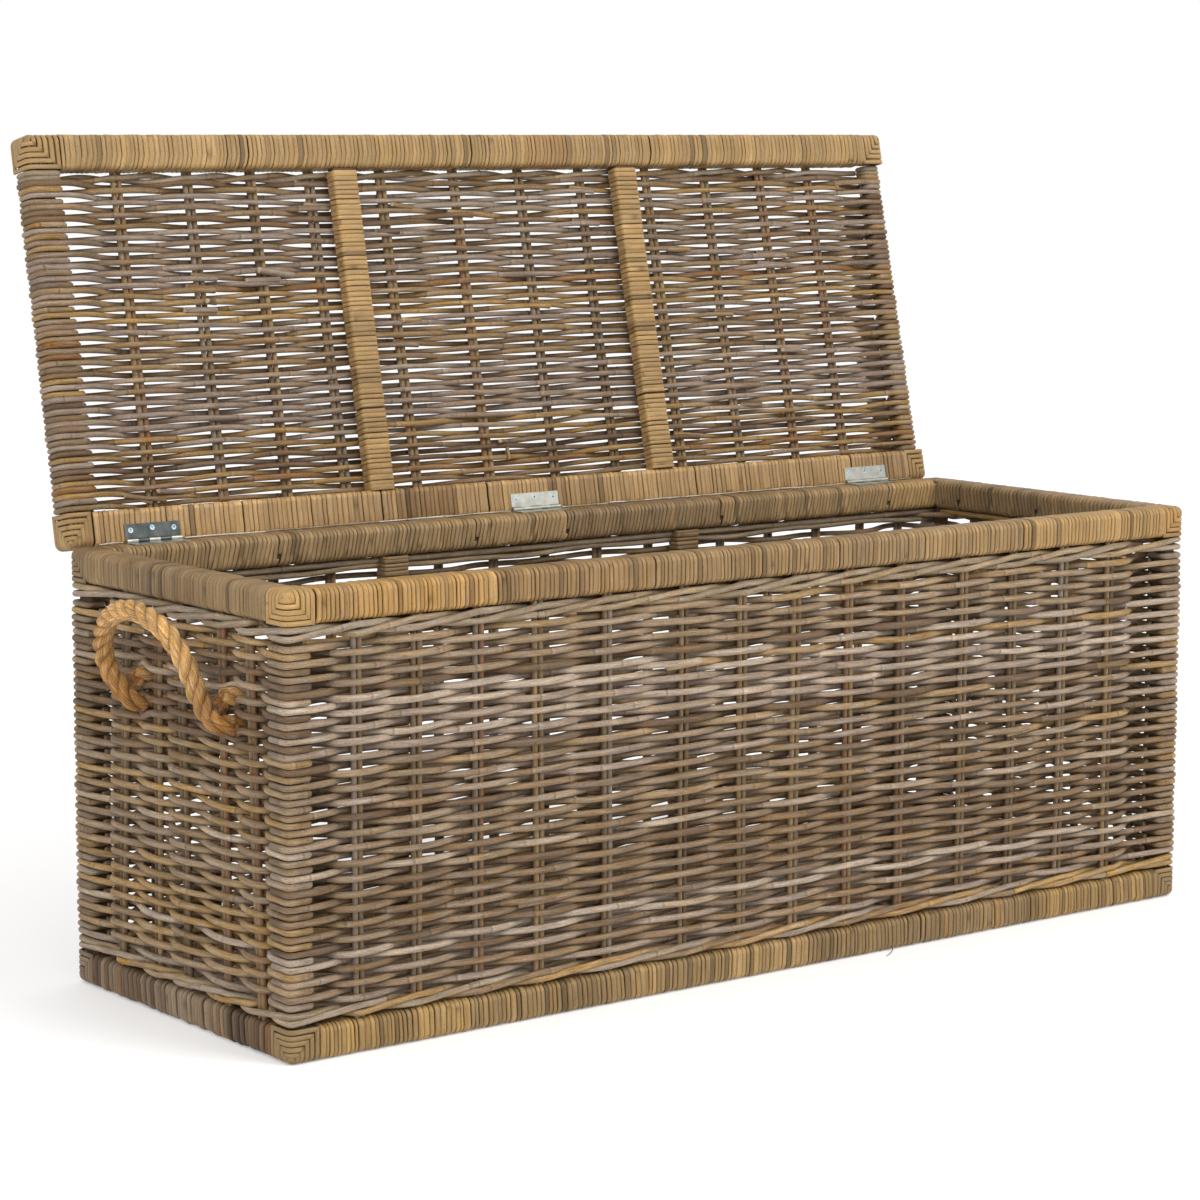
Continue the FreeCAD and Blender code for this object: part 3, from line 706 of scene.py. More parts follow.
def wall_ring(sgn, out, ps, pn, r=3.45, mid=9.0, inset=7.0):
    """The ways round a corner post for a wall whose mid-plane is mid in from the outside. sgn: which end.
    The post is ps along the wall by pn through it, inset from the outside faces."""
    a, b = out - inset + r, out - inset - ps - r      # outermost, innermost |s|
    n1 = mid - inset + r
    n0 = mid - inset - pn - r
    rc, ri = 4.2, 5.0
    # wrap: along the outer face, sharply round the corner, along the other face, then inside
    q = [(sgn * (b + 8), n1), (sgn * (a - rc), n1)]
    q += arc(sgn * (a - rc), n1 - rc, rc, 90, 90 - sgn * 90)[1:]
    q += [(sgn * a, n0 + ri)]
    q += arc(sgn * (a - ri), n0 + ri, ri, 90 - sgn * 90, 90 - sgn * 180)[1:]
    q += [(sgn * (b + 8), n0)]
    q = densify(np.array(q), False, 2.2)
    span = float(np.linalg.norm(np.diff(q, axis=0), axis=1).sum()) + 12.0
    return {"kind": "post", "closed": False, "edge": sgn * b, "n1": n1, "n0": n0, "wrap": q[2:], "span": span}


front = Panel((0, -196, 0), (1, 0, 0), (0, -1, 0), (0, 0, 1))
back = Panel((0, 196, 0), (1, 0, 0), (0, 1, 0), (0, 0, 1))
leftw = Panel((-591, 0, 0), (0, 1, 0), (-1, 0, 0), (0, 0, 1))
rightw = Panel((591, 0, 0), (0, 1, 0), (1, 0, 0), (0, 0, 1))

ROWS = list(np.linspace(54.4, 394.2, 48))
POST_F = (600.0, 18.0, 24.0)        # the corner posts as the long walls meet them
POST_S = (205.0, 24.0, 18.0)        # and as the end walls do


def lean(a, b):
    """A stake that stands at a at the top of the wall and at b at its foot."""
    return lambda z: b + (a - b) * (z - 34.0) / 382.0


front_stakes = [lean(s + o, s) for s, o in zip(FRONT_STAKES, (-1, 2, 1, -2, 0, 1, -1, 2, 0, -1, 1, 0, 2, -1))]
back_stakes = [float(s) for s in BACK_STAKES]
left_stakes = [lean(-128, -144), lean(-78, -83), lean(-2, -8), lean(40, 50), lean(102, 122)]
right_stakes = [lean(-102, -122), lean(-40, -50), lean(2, 8), lean(78, 83), lean(128, 144)]


def hole_warp(holes, half=6.8, reach=30.0, wide=9.5):
    def warp(s, t):
        for (sc, tc) in holes:
            w = np.exp(-((s - sc) / wide) ** 2)
            h = half * w
            u = t - tc
            k = np.clip(1 - np.abs(u) / reach, 0, 1)
            sg = np.where(np.mean(u) >= 0, 1.0, -1.0)
            t = t + sg * h * k
        return t
    return warp


rng = np.random.default_rng(2024)

# front wall ---------------------------------------------------------------
WALL = dict(d=6.95, amp=6.35, sag=0.5, jitter=0.6, spread=(0.89, 1.08))
b_main = Bag()
weave(b_main, None, front, front_stakes, ROWS, wall_ring(-1, *POST_F), wall_ring(1, *POST_F), rng, parity=0, splices=0.10, **WALL)
two_pieces("front_weavers", b_main, rng, M_WEAVE, "trunk_body", "kubu_weave", ["front_wall_weave", "corner_weave"])
b_stk = Bag()
stake_rods(b_stk, front, front_stakes, 18.0, 432.0, rng)
piece("front_stake_rods", b_stk, rng, M_STAKE, "trunk_body", "stake_rods", ["front_stakes"])

# back wall ------------------------------------------------------------------
b_main = Bag()
weave(b_main, None, back, back_stakes, ROWS, wall_ring(-1, *POST_F), wall_ring(1, *POST_F), rng, parity=0, splices=0.10, **WALL)
two_pieces("back_weavers", b_main, rng, M_WEAVE, "trunk_body", "kubu_weave", ["back_wall_weave"])
b_stk = Bag()
stake_rods(b_stk, back, back_stakes, 18.0, 432.0, rng)
piece("back_stake_rods", b_stk, rng, M_STAKE, "trunk_body", "stake_rods", ["back_stakes"])

# left wall ------------------------------------------------------------------
LEFT_HOLES = [(62.0, 311.0), (-106.0, 311.0), (60.5, 338.0), (-103.0, 338.0)]
b_main = Bag()
weave(b_main, None, leftw, left_stakes, ROWS, wall_ring(-1, *POST_S), wall_ring(1, *POST_S), rng, parity=1,
      warp=hole_warp(LEFT_HOLES), **WALL)
piece("left_weavers", b_main, rng, M_WEAVE, "trunk_body", "kubu_weave", ["left_wall_weave"])
b_stk = Bag()
stake_rods(b_stk, leftw, left_stakes, 18.0, 432.0, rng)
piece("left_stake_rods", b_stk, rng, M_STAKE, "trunk_body", "stake_rods", ["left_stakes"])

# right wall ------------------------------------------------------------------
b_main = Bag()
weave(b_main, None, rightw, right_stakes, ROWS, wall_ring(-1, *POST_S), wall_ring(1, *POST_S), rng, parity=0,
      warp=hole_warp([(-s, t) for s, t in LEFT_HOLES]), **WALL)
piece("right_weavers", b_main, rng, M_WEAVE, "trunk_body", "kubu_weave", ["right_wall_weave"])
b_stk = Bag()
stake_rods(b_stk, rightw, right_stakes, 18.0, 432.0, rng)
piece("right_stake_rods", b_stk, rng, M_STAKE, "trunk_body", "stake_rods", ["right_stakes"])


# ---------------------------------------------------------------------------
# waling under the rim and over the base, all the way round: three rods, each
# before two stakes and behind the third
# ---------------------------------------------------------------------------
WALE_WALLS = ((front, FRONT_STAKES, L2, 1), (rightw, (-112, -44, 6, 81, 136), D2, 1),
              (back, BACK_STAKES, L2, -1), (leftw, END_STAKES, D2, -1))


def wale(bag, zc, rng, r=3.3, h=3.5, table="wale"):
    for j in range(3):
        k = j
        runs, corners = [], []
        prev_in = None
        for panel, stakes, a, flip in WALE_WALLS:
            u = sorted(flip * q for q in stakes)
            first_in = prev_in
            ph = [(k + i) % 3 for i in range(len(u))]
            k += len(u)
            corner = k % 3
            k += 1
            runs.append([panel, u, a, flip, first_in, corner == 0, ph, corner])
            prev_in = corner == 0
        runs[0][4] = prev_in
        last_corner = runs[-1][7]
        lines = []
        for w, (panel, u, a, flip, in0, in1, ph, corner) in enumerate(runs):
            c0 = runs[w - 1][7]
            height = {0: 0.0, 1: -h, 2: h}
            after = {0: -h + 0.1, 1: 0.0, 2: h - 0.1}
            lo, hi = -(a - (55 if in0 else 7.75)), a - (55 if in1 else 7.75)
            n_an = [(lo, -6.5 if in0 else 5.45), (lo + 12, -6.5 if in0 else 5.45)]
            t_an = [(lo, height[c0]), ((lo + u[0]) / 2, after[c0])]
            for i, x in enumerate(u):
                v = -6.5 if ph[i] == 0 else 6.5
                n_an += [(x - 5.5, v), (x + 5.5, v)]
                t_an.append((x, height[ph[i]]))
                x1 = u[i + 1] if i + 1 < len(u) else hi
                t_an.append(((x + x1) / 2, after[ph[i]]))
            n_an += [(hi - 12, -6.5 if in1 else 5.45), (hi, -6.5 if in1 else 5.45)]
            t_an.append((hi, height[corner]))
            q = np.append(np.arange(lo, hi, 3.0), hi)
            n = smooth_through(q, n_an)
            ta = np.array(t_an)
            t = zc + 0.7 * np.interp(q, ta[:, 0], ta[:, 1]) + 0.3 * smooth_through(q, t_an) \
                + 0.5 * np.sin(q / 97 + zc + j) * np.clip((hi - q) / 60, 0, 1) * np.clip((q - lo) / 60, 0, 1)
            lines.append((panel.at(flip * q, n, t), in1))
        full = []
        for w in range(4):
            A, inside = lines[w]
            B = lines[(w + 1) % 4][0]
            full.append(A)
            p0, p1 = A[-1], B[0]
            if inside:
                full.append(p0 + (p1 - p0) * np.linspace(0, 1, 12)[1:-1, None])
            else:
                cx, cy = (p0[0], p1[1]) if abs(p0[0]) < abs(p1[0]) else (p1[0], p0[1])
                a0 = math.atan2(p0[1] - cy, p0[0] - cx)
                a1 = math.atan2(p1[1] - cy, p1[0] - cx)
                a1 = a0 + (a1 - a0 + math.pi) % (2 * math.pi) - math.pi
                rr = np.linspace(math.hypot(p0[0] - cx, p0[1] - cy), math.hypot(p1[0] - cx, p1[1] - cy), 8)
                g = np.linspace(0, 1, 8)
                full.append(np.stack([cx + rr * np.cos(a0 + (a1 - a0) * g), cy + rr * np.sin(a0 + (a1 - a0) * g),
                                      p0[2] + (p1[2] - p0[2]) * g], 1)[1:-1])
        P = np.concatenate(full)
        Pc = np.concatenate([P, P[:1]])
        L = cum(Pc)
        # canes of about 0.8 to 1.3 m
        x = rng.uniform(0, 300)
        stops = [x]
        while stops[-1] < x + L[-1] - 1500:
            stops.append(stops[-1] + rng.uniform(800, 1300))
        stops.append(x + L[-1])
        for x0, x1 in zip(stops[:-1], stops[1:]):
            at = np.arange(x0, x1 + 2, 2.5) % L[-1]
            Q = np.stack([np.interp(at, L, Pc[:, c]) for c in range(3)], 1)
            nl = node_list(x1 - x0, rng)
            Q, at = resample(Q, 3.4, nl)
            C, R = looks(at, rng, table, None, r * rng.uniform(0.95, 1.06), nodes=nl)
            if zc < 100 and j == 1:      # one golden cane over the base
                C = C * np.array([1.16, 0.98, 0.66])
            bag.add(Q, R, (0, 0, 1), C, cut=(150, 134, 108))


def pair_row(bag, panel, stakes, tc, s0, s1, rng, r=3.1, h=3.0, rise=-1.0, table="wale"):
    """Two rods twined along a panel's edge, each before one stake and behind the next."""
    for j in range(2):
        n_an, t_an = [(s0, -4.0), (s0 + 8, -4.0)], [(s0, 0.0)]
        for i, x in enumerate(stakes):
            before = (i + j) % 2 == 0
            v = 6.1 if before else -6.1
            n_an += [(x - 5.5, v), (x + 5.5, v)]
            x0 = stakes[i - 1] if i else s0
            t_an += [((x + x0) / 2, -h * rise if before else h * rise), (x, 0.0)]
        n_an += [(s1 - 8, -4.0), (s1, -4.0)]
        t_an.append((s1, 0.0))
        q = np.append(np.arange(s0, s1, 3.0), s1)
        t = tc + smooth_through(q, t_an) + 0.5 * np.sin(q / 70 + j)
        P = panel.at(q, smooth_through(q, n_an), t)
        nl = node_list(s1 - s0, rng)
        Q, at = resample(P, 5.5, nl)
        C, R = looks(at, rng, table, None, r * rng.uniform(0.97, 1.05), nodes=nl)
        bag.add(Q, R, panel.T, C, cut=(150, 134, 108))


b = Bag()
wale(b, 408.0, rng, h=4.3)
wale(b, 42.6, rng)
# a rod laid along inside, close under the rim, and one over the base; their colour is darkened (x0.8) as painted shade,
# for lying inside the wall
for panel, a in ((front, 578.0), (back, 578.0), (leftw, 180.0), (rightw, 180.0)):
    for zc, nn in ((411.4, -13.0), (38.6, -12.6)):
        q = np.arange(-a, a + 0.1, 9.0)
        P = panel.at(q, nn + 0.5 * np.sin(q / 90 + zc), zc + 0.5 * np.sin(q / 70 + nn))
        nl = node_list(2 * a, rng)
        P, at = resample(P, 9.0, nl)
        C, R = looks(at, rng, "wale", None, 3.5, nodes=nl)
        b.add(P, R, (0, 0, 1), C * 0.8, cut=(150, 134, 108))
q = np.arange(-578.0, 578.1, 9.0)
P = back.at(q, -13.2 + 0.4 * np.sin(q / 60), 404.6 + 1.3 * np.sin(q / 52) + 0.9 * np.sin(q / 23))
C, R = looks(cum(P), rng, "wale", None, 2.9)
# the same painted shade (x0.8) on this rod inside the back wall
b.add(P, R, (0, 0, 1), C * 0.8, cut=(150, 134, 108))
for panel, s_ in ((leftw, 1), (rightw, -1)):
    for s0, s1 in ((34.0, 92.0), (-130.0, -72.0)):
        q = np.arange(s0, s1, 5.0)
        P = panel.at(s_ * q, -5.0, 324.3 + 0.8 * np.sin(q / 11))
        C, R = looks(cum(P), rng, "wale", None, 3.8, nodes=[])
        # rods inside the end walls by the rope holes, darkened (x0.75) as painted shade
        b.add(P, R, (0, 0, 1), C * 0.75, cut=(150, 134, 108))
piece("waling", b, rng, M_WEAVE, "trunk_body", "kubu_weave")


# ---------------------------------------------------------------------------
# strip windings on rails, bars and posts
# ---------------------------------------------------------------------------
def rounded_square(hy, hz, r, nside=2, ncor=4):
    """Points and outward normals round a rounded rectangle, starting at the middle of the -Y side, going to +Z."""
    P, Nn = [], []
    corners = [(-1, 1, 180), (1, 1, 90), (1, -1, 0), (-1, -1, 270)]
    last = None
    for sy, sz, a0 in corners:
        cy, cz = sy * (hy - r), sz * (hz - r)
        for a in np.linspace(a0, a0 - 90, ncor + 1):
            c, s = math.cos(math.radians(a)), math.sin(math.radians(a))
            P.append((cy + r * c, cz + r * s)); Nn.append((c, s))
    P, Nn = np.array(P), np.array(Nn)
    outP, outN = [], []
    n = len(P)
    for i in range(n):
        a, b_ = P[i], P[(i + 1) % n]
        outP.append(a); outN.append(Nn[i])
        d = np.linalg.norm(b_ - a)
        if d > 6:
            for j in range(1, nside + 1):
                outP.append(a + (b_ - a) * j / (nside + 1)); outN.append(Nn[i])
    return np.array(outP), np.array(outN)


def wind(bag, O, X, Y, Z, a0, a1, hy, hz, r, rng, table, pitch=5.4, thick=1.35, inner=-1, bundle=(22, 56),
         dark=0.05, skew=1.0, prof=STRIP6, patches=(), vary=0.08, widths=(0.74, 1.26), full=(0.84, 0.94), slant=0.0,
         mixed=0.10, rough=0.22, wear_and_highlight=0.12):
    """A strip wound round a rail: axis X from a0 to a1 about O, section 2hy by 2hz on Y and Z. The turns advance on
    the side inner (0: -Y, 1: +Z, 2: +Y, 3: -Z). patches: (from, to, colour, how strong) along the rail."""
    O, X, Y, Z = (np.asarray(v, float) for v in (O, X, Y, Z))
    sec, nor = rounded_square(hy - thick, hz - thick, max(r - thick, 1.5))
    # turn the list so that it starts in the middle of the inner side
    ang = {0: math.pi, 1: math.pi / 2, 2: 0.0, 3: -math.pi / 2}[inner]
    want = np.array([math.cos(ang), math.sin(ang)])
    k0 = int(np.argmax(sec @ want / np.maximum(np.linalg.norm(sec, axis=1), 1e-9)))
    sec, nor = np.roll(sec, -k0, 0), np.roll(nor, -k0, 0)
    m_ = len(sec)
    per = cum(np.concatenate([sec, sec[:1]]))
    total = per[-1]
    half_inner = {0: hz, 1: hy, 2: hz, 3: hy}[inner] - r * 0.6
    # share of the pitch gained by each point: only on the inner side
    g = np.clip(per[:-1] / half_inner, 0, 1) * 0.5 + np.clip((per[:-1] - (total - half_inner)) / half_inner, 0, 1) * 0.5
    # how far round from the visible face (-Z) over the inner side: 0 there, 1 at the middle of the inner side
    back = (per[:-1] - (total - hz - r)) / (hz + r)
    tilt = np.where(back > 0, back, np.clip(1 - per[:-1] / (hz + 2 * hy * 0.6), 0, 1)) * slant
    edge = (np.abs(nor).min(axis=1) > 0.3).astype(float)
    x = a0
    turns = []
    while x < a1 - 0.6 * pitch:
        w = pitch * rng.uniform(*widths)
        if x + w > a1:
            w = a1 - x
        turns.append((x + w / 2, w))
        x += w
    scale = (a1 - a0) / (x - a0)
    turns = [(a0 + (c - a0) * scale, w * scale) for c, w in turns]
    i = 0
    sk = wv = tone = 0.0
    phase = rng.uniform(0, 6.28)
    base = pick(rng, table)
    while i < len(turns):
        nb = min(int(rng.integers(*bundle)), len(turns) - i)
        if len(turns) - i - nb < 6:
            nb = len(turns) - i
        grp = turns[i:i + nb]
        base = 0.35 * base + 0.65 * pick(rng, table)
        pts, nrm, wid, hgt, cols = [], [], [], [], []
        for q, (c, w) in enumerate(grp):
            nxt = grp[q + 1][0] if q + 1 < nb else c + w * 0.5
            adv = (nxt - c)
            sk = 0.94 * sk + rng.normal(0, 0.26) * skew
            wv = 0.93 * wv + rng.normal(0, 0.05)
            tone = 0.55 * tone + rng.normal(0, vary)
            # this turn runs from c to the next turn's centre, gaining on the inner side only
            along = c + adv * g
            lift = rng.uniform(-1.1, 0.9) * rough
            zz = sec[:, 1] / hz
            off = along + tilt * min(1.0, (c - a0) / 25.0, (a1 - c) / 25.0) + sk * zz * 0.5 + wv * np.sin(per[:-1] / total * 6.28 * 2 + phase)
            off = np.clip(off, a0 + w * 0.3, a1 - w * 0.3)
            p2 = sec + nor * lift
            P = O + off[:, None] * X + p2[:, :1] * Y + p2[:, 1:] * Z
            pts.append(P)
            nrm.append(nor[:, :1] * Y + nor[:, 1:] * Z)
            wid.append(np.full(m_, w * 0.5 * rng.uniform(*full)))
            hgt.append(np.full(m_, thick * rng.uniform(0.85, 1.1)))
            col = base * (1 + tone)
            if rng.random() < mixed:
                col = 0.4 * col + 0.6 * pick(rng, table)
            for p0, p1, pc, ps in patches:
                if p0 <= c <= p1:
                    k = ps * rng.uniform(0.75, 1.15)
                    col = col * (1 - k) + lin(pc) * k
            # strips are paler on the section's rounded edges: partly wear where the strip bends over the edge, partly a
            # painted highlight
            cc = np.repeat(col[None], m_, 0) * (1 + wear_and_highlight * rng.uniform(0, 1.6) * edge)[:, None] * (1 + 0.05 * np.sin(per[:-1] / total * 6.28 * rng.integers(1, 4) + rng.uniform(0, 6)))[:, None]
            if rng.random() < 0.20:     # a node in the cane
                k = rng.integers(0, m_)
                dd_ = np.minimum(np.abs(np.arange(m_) - k), m_ - np.abs(np.arange(m_) - k))
                cc = cc * (1 - 0.45 * np.exp(-(dd_ / 0.8) ** 2))[:, None]
            if rng.random() < dark:
                cc = cc * rng.uniform(0.5, 0.7)
            cols.append(cc)
        P = np.concatenate(pts)
        bag.add(P, np.concatenate(wid), np.concatenate(nrm), np.concatenate(cols), prof=prof, Rh=np.concatenate(hgt))
        i += nb


X_, Y_, Z_ = (1, 0, 0), (0, 1, 0), (0, 0, 1)
rng = np.random.default_rng(77)
RIM_PATCH = [(-508.0, -432.0, (158, 122, 68), .5), (-392.0, -386.0, (96, 66, 44), .7), (-262.0, -258.0, (104, 78, 52), .6),
             (96.0, 101.0, (110, 84, 56), .6), (352.0, 396.0, (150, 120, 78), .3)]
for level, zc in (("rim", H - 17.0), ("base", 17.0)):
    for side in ("front", "back", "left", "right"):
        b = Bag()
        table = "strip"
        kw = dict(pitch=5.3)
        if level == "base":
            if side in ("front", "back"):
                table = "base"
                kw = dict(pitch=5.6, thick=1.5, vary=0.11, widths=(0.66, 1.34), dark=0.10, rough=0.45, skew=1.5)
            else:
                table = "plinth"
                kw = dict(pitch=7.0, thick=3.0, prof=circle(8), vary=0.19, bundle=(1, 5), skew=2.6, full=(0.80, 0.95),
                          mixed=0.4, rough=0.75, wear_and_highlight=0.0)
        elif side in ("left", "right"):
            table = "grey"
            kw = dict(pitch=5.8, thick=1.5, skew=1.5, vary=0.09, mixed=0.25, dark=0.07)
        elif side == "front":
            kw["patches"] = RIM_PATCH
        else:
            table = "rimback"
        if side in ("front", "back"):
            s = -1 if side == "front" else 1
            # across the section: +Y is outward here
            wind(b, (0, s * (D2 - 17.0), zc), X_, (0, s, 0), Z_, -L2 + RAIL - 1.6, L2 - RAIL + 1.6, 17.0, 17.0, 8.0, rng, table,
                 inner=0, **kw)
        else:
            s = -1 if side == "left" else 1
            wind(b, (s * (L2 - 17.0), 0, zc), Y_, (s, 0, 0), Z_, -D2 + RAIL - 1.6, D2 - RAIL + 1.6, 17.0, 17.0, 8.0, rng, table,
                 inner=0, **kw)
        piece("%s_%s_winding" % (level, side), b, rng, M_STRIP, "trunk_body", "rattan_strip",
              ["%s_%s_rail_wrap" % (level, side)])

b = Bag()
for x in MID_POSTS:
    for s in (-1, 1):
        wind(b, (x, s * (D2 - 17.0 - 10.0), 0), Z_, X_, (0, -s, 0), RAIL, H - RAIL, 16.0, 10.0, 4.0, rng, "grey",
             pitch=5.2, inner=3)
piece("post_windings", b, rng, M_STRIP, "trunk_body", "rattan_strip", ["mid_post_wraps"])


# ---------------------------------------------------------------------------
# corner windings: nested loops round the block's outer corner
# ---------------------------------------------------------------------------
def corner_block(bag, V, dx, dy, dz, rng, table, size=(34.0, 34.0, 34.0), pitch=5.3, r=8.5, thick=1.35):
    """V: the block's outer corner. dx, dy, dz: unit directions from it into the block, size its sides along them."""
    V, dx, dy, dz = (np.asarray(v, float) for v in (V, dx, dy, dz))
    mean = sum(size) / 3.0
    n = int(mean // pitch)
    ds = np.linspace(pitch * 0.75, mean - pitch * 0.5, n)
    base = pick(rng, table)
    for q, d in enumerate(ds):
        # local coordinates (a, b, c) from the corner along dx, dy, dz; the loop runs over the faces c=0, a=0, b=0
        d3, d1, d2 = d * np.array(size) / mean + rng.uniform(-0.35, 0.35, 3)
        # face c=0: turn at (d3,d1,0); then over the edge a=0 to the face a=0: turn at (0,d1,d2); then over b=0: turn at (d3,0,d2)
        path, sharp = [], []
        seq = [(np.array([d3, d1, 0.0]), np.array([0.0, d1, 0.0])),
               (np.array([0.0, d1, 0.0]), np.array([0.0, d1, d2])),
               (np.array([0.0, d1, d2]), np.array([0.0, 0.0, d2])),
               (np.array([0.0, 0.0, d2]), np.array([d3, 0.0, d2])),
               (np.array([d3, 0.0, d2]), np.array([d3, 0.0, 0.0])),
               (np.array([d3, 0.0, 0.0]), np.array([d3, d1, 0.0]))]
        turn_start = {0, 2, 4}
        for si, (A, B) in enumerate(seq):
            ln = np.linalg.norm(B - A)
            k = max(2, int(ln / 2.4))
            for j in range(k):
                path.append(A + (B - A) * j / k)
                sharp.append(1.0 if (j == 0 and si in turn_start) else 0.0)
        path = np.array(path)
        sharp = np.array(sharp)
        # round the block's edges
        inner = np.maximum(path, r)
        e = path - inner
        ln = np.linalg.norm(e, axis=1, keepdims=True)
        nrm = np.where(ln > 1e-6, e / np.maximum(ln, 1e-6), 0)
        flat = (ln[:, 0] < 1e-6)
        surf = inner + nrm * (r - thick)
        world = V + surf[:, :1] * dx + surf[:, 1:2] * dy + surf[:, 2:] * dz
        nw = nrm[:, :1] * dx + nrm[:, 1:2] * dy + nrm[:, 2:] * dz
        w = pitch * 0.5 * rng.uniform(0.86, 0.95) * (1 + 0.41 * sharp * (d > r * 0.6))
        col = (0.7 * base + 0.3 * pick(rng, table)) * rng.uniform(0.88, 1.1)
        Lc = cum(world)
        C = col[None] * (1 + 0.06 * np.sin(Lc / 9 + rng.uniform(0, 6)))[:, None] * (1 - 0.22 * sharp)[:, None]
        if rng.random() < 0.4:
            k = rng.integers(0, len(C))
            C[k] *= 0.55
        # handedness of the frame decides the winding of the loop
        if np.dot(np.cross(dx, dy), dz) > 0:
            world, nw, w, C = world[::-1], nw[::-1], w[::-1], C[::-1]
        bag.add(world, w, nw, C, prof=STRIP6, Rh=thick * rng.uniform(0.9, 1.1), closed=True)


def corner_core(bag, V, dx, dy, dz, size, deep=2.0):
    """The block under the nested loops."""
    V, dx, dy, dz = (np.asarray(v, float) for v in (V, dx, dy, dz))
    a, b_, c = size
    P = V + dx * (np.array([deep, deep + 1.2, deep + 3.0, deep + 6.0, a - 0.6]))[:, None] + dy * ((b_ + deep) / 2 - 0.3) + dz * ((c + deep) / 2 - 0.3)
    k = 6.0
    hy, hz = (b_ - deep) / 2 - 0.3, (c - deep) / 2 - 0.3
    cs = [(sy * (hy - k) + k * math.cos(t), sz * (hz - k) + k * math.sin(t))
          for sy, sz, t0 in ((1, 1, 0.0), (-1, 1, math.pi / 2), (-1, -1, math.pi), (1, -1, 1.5 * math.pi))
          for t in np.linspace(t0, t0 + math.pi / 2, 4)]
    prof = np.array(cs)
    up_ = dz
    # the profile's first axis is T x up
    bag.add(P, [0.55, 0.80, 0.92, 1.0, 1.0], up_, lin((74, 56, 38)), prof=prof)


for level, vz, dz in (("rim", H, -1), ("base", 0.0, 1)):
    b = Bag()
    for sx in (-1, 1):
        for sy in (-1, 1):
            corner_core(b, (sx * L2, sy * D2, vz), (-sx, 0, 0), (0, -sy, 0), (0, 0, dz), (34.0, 34.0, 34.0))
    for sx in (-1, 1):
        for sy in (-1, 1):
            gold = ("gold" if sy < 0 else "grey") if level == "rim" else ("base" if sy < 0 else "plinth")
            corner_block(b, (sx * L2, sy * D2, vz), (-sx, 0, 0), (0, -sy, 0), (0, 0, dz), rng, gold)
    piece("%s_corner_windings" % level, b, rng, M_STRIP, "trunk_body", "rattan_strip", ["%s_corner_wraps" % level])

# ---------------------------------------------------------------------------
# lid: made closed, then turned open about the hinge pins
# ---------------------------------------------------------------------------
co, si_ = math.cos(-LID_OPEN), math.sin(-LID_OPEN)
LYM = (LY0 + LY1) / 2


def open_lid(V):
    """A little narrower at its front edge than at the hinges, then turned open."""
    x = V[:, 0] * (1 + 0.0042 * (V[:, 1] - LYM) / 213.0)
    y, z = V[:, 1] - PIN_Y, V[:, 2] - PIN_Z
    return np.stack([x, PIN_Y + y * co - z * si_, PIN_Z + y * si_ + z * co], 1)


rng = np.random.default_rng(501)
LM = 480.0
lidp = Panel((0, 0, LM), (1, 0, 0), (0, 0, -1), (0, 1, 0))


def side_ring(sgn):
    """Ring round the lid's side rail."""
    core_in, width, z0, z1 = LSIDE[sgn]
    edge_out = (LX0 if sgn < 0 else LX1) - sgn * core_in
    r = 3.2
    a, b_ = edge_out + sgn * r, edge_out - sgn * (width + r)
    n1 = LM - (z0 - r)
    n0 = LM - (z1 + r)
    s0, s1 = sorted((a, b_))
    rr = 7.0 if sgn < 0 else 5.0
    ring = post_ring(s0, s1, n0, n1, rr)
    q = [(b_ + sgn * 7, n1), (a - sgn * rr, n1)]
    q += arc(a - sgn * rr, n1 - rr, rr, 90, 90 - sgn * 90)[1:]
    q += [(a, n0 + rr)]
    q += arc(a - sgn * rr, n0 + rr, rr, 90 - sgn * 90, 90 - sgn * 180)[1:]
    q += [(b_ + sgn * 3, n0)]
    q = densify(np.array(q), False, 2.5)
    span = float(np.linalg.norm(np.diff(q, axis=0), axis=1).sum()) + 10.0
    return {"kind": "post", "closed": True, "edge": b_, "n1": n1, "n_in": -6.2, "ring": ring, "wrap": q[2:], "span": span}


# x, y, way it points, how far it stands out, length, radius
LOOSE = [(-382, -47.5, 182, 8.0, 15, 3.2), (-421, -40.0, 2, 3.5, 36, 3.6), (-282, -74.0, 187, 6.0, 46, 3.6),
         (-341, -69.5, 0, 3.0, 39, 3.3), (-118, -146.0, 185, 5.0, 28, 3.0), (-168, -120.0, 3, 4.0, 28, 3.0),
         (-124, -20.0, 180, 4.5, 26, 3.1), (-447, 150.5, 183, 7.0, 34, 2.7), (-487, 160.0, 197, 5.0, 45, 1.6),
         (-470, 158.0, 188, 4.0, 50, 2.4), (-28, 120.0, 178, 8.0, 14, 2.6), (-28, 128.0, 96, 3.0, 12, 2.2),
         (236, -92.0, 4, 4.0, 30, 3.0), (420, 34.0, 181, 5.0, 32, 3.1), (318, 96.0, 3, 4.0, 27, 3.0)]
lid_stakes = [float(s) for s in LID_STAKES]
LROWS = list(np.linspace(-173.6, 161.4, 55))
b_main, b_side = Bag(), Bag()
weave(b_main, b_side, lidp, lid_stakes, LROWS, side_ring(-1), side_ring(1), rng, d=6.3, amp=5.9, parity=1, splices=0.5,
      sag=-0.15, jitter=0.6, spread=(0.88, 1.10), table="lidweave")
pair_row(b_main, lidp, lid_stakes, -181.4, LX0 + 41.0, LX1 - 27.0, rng)
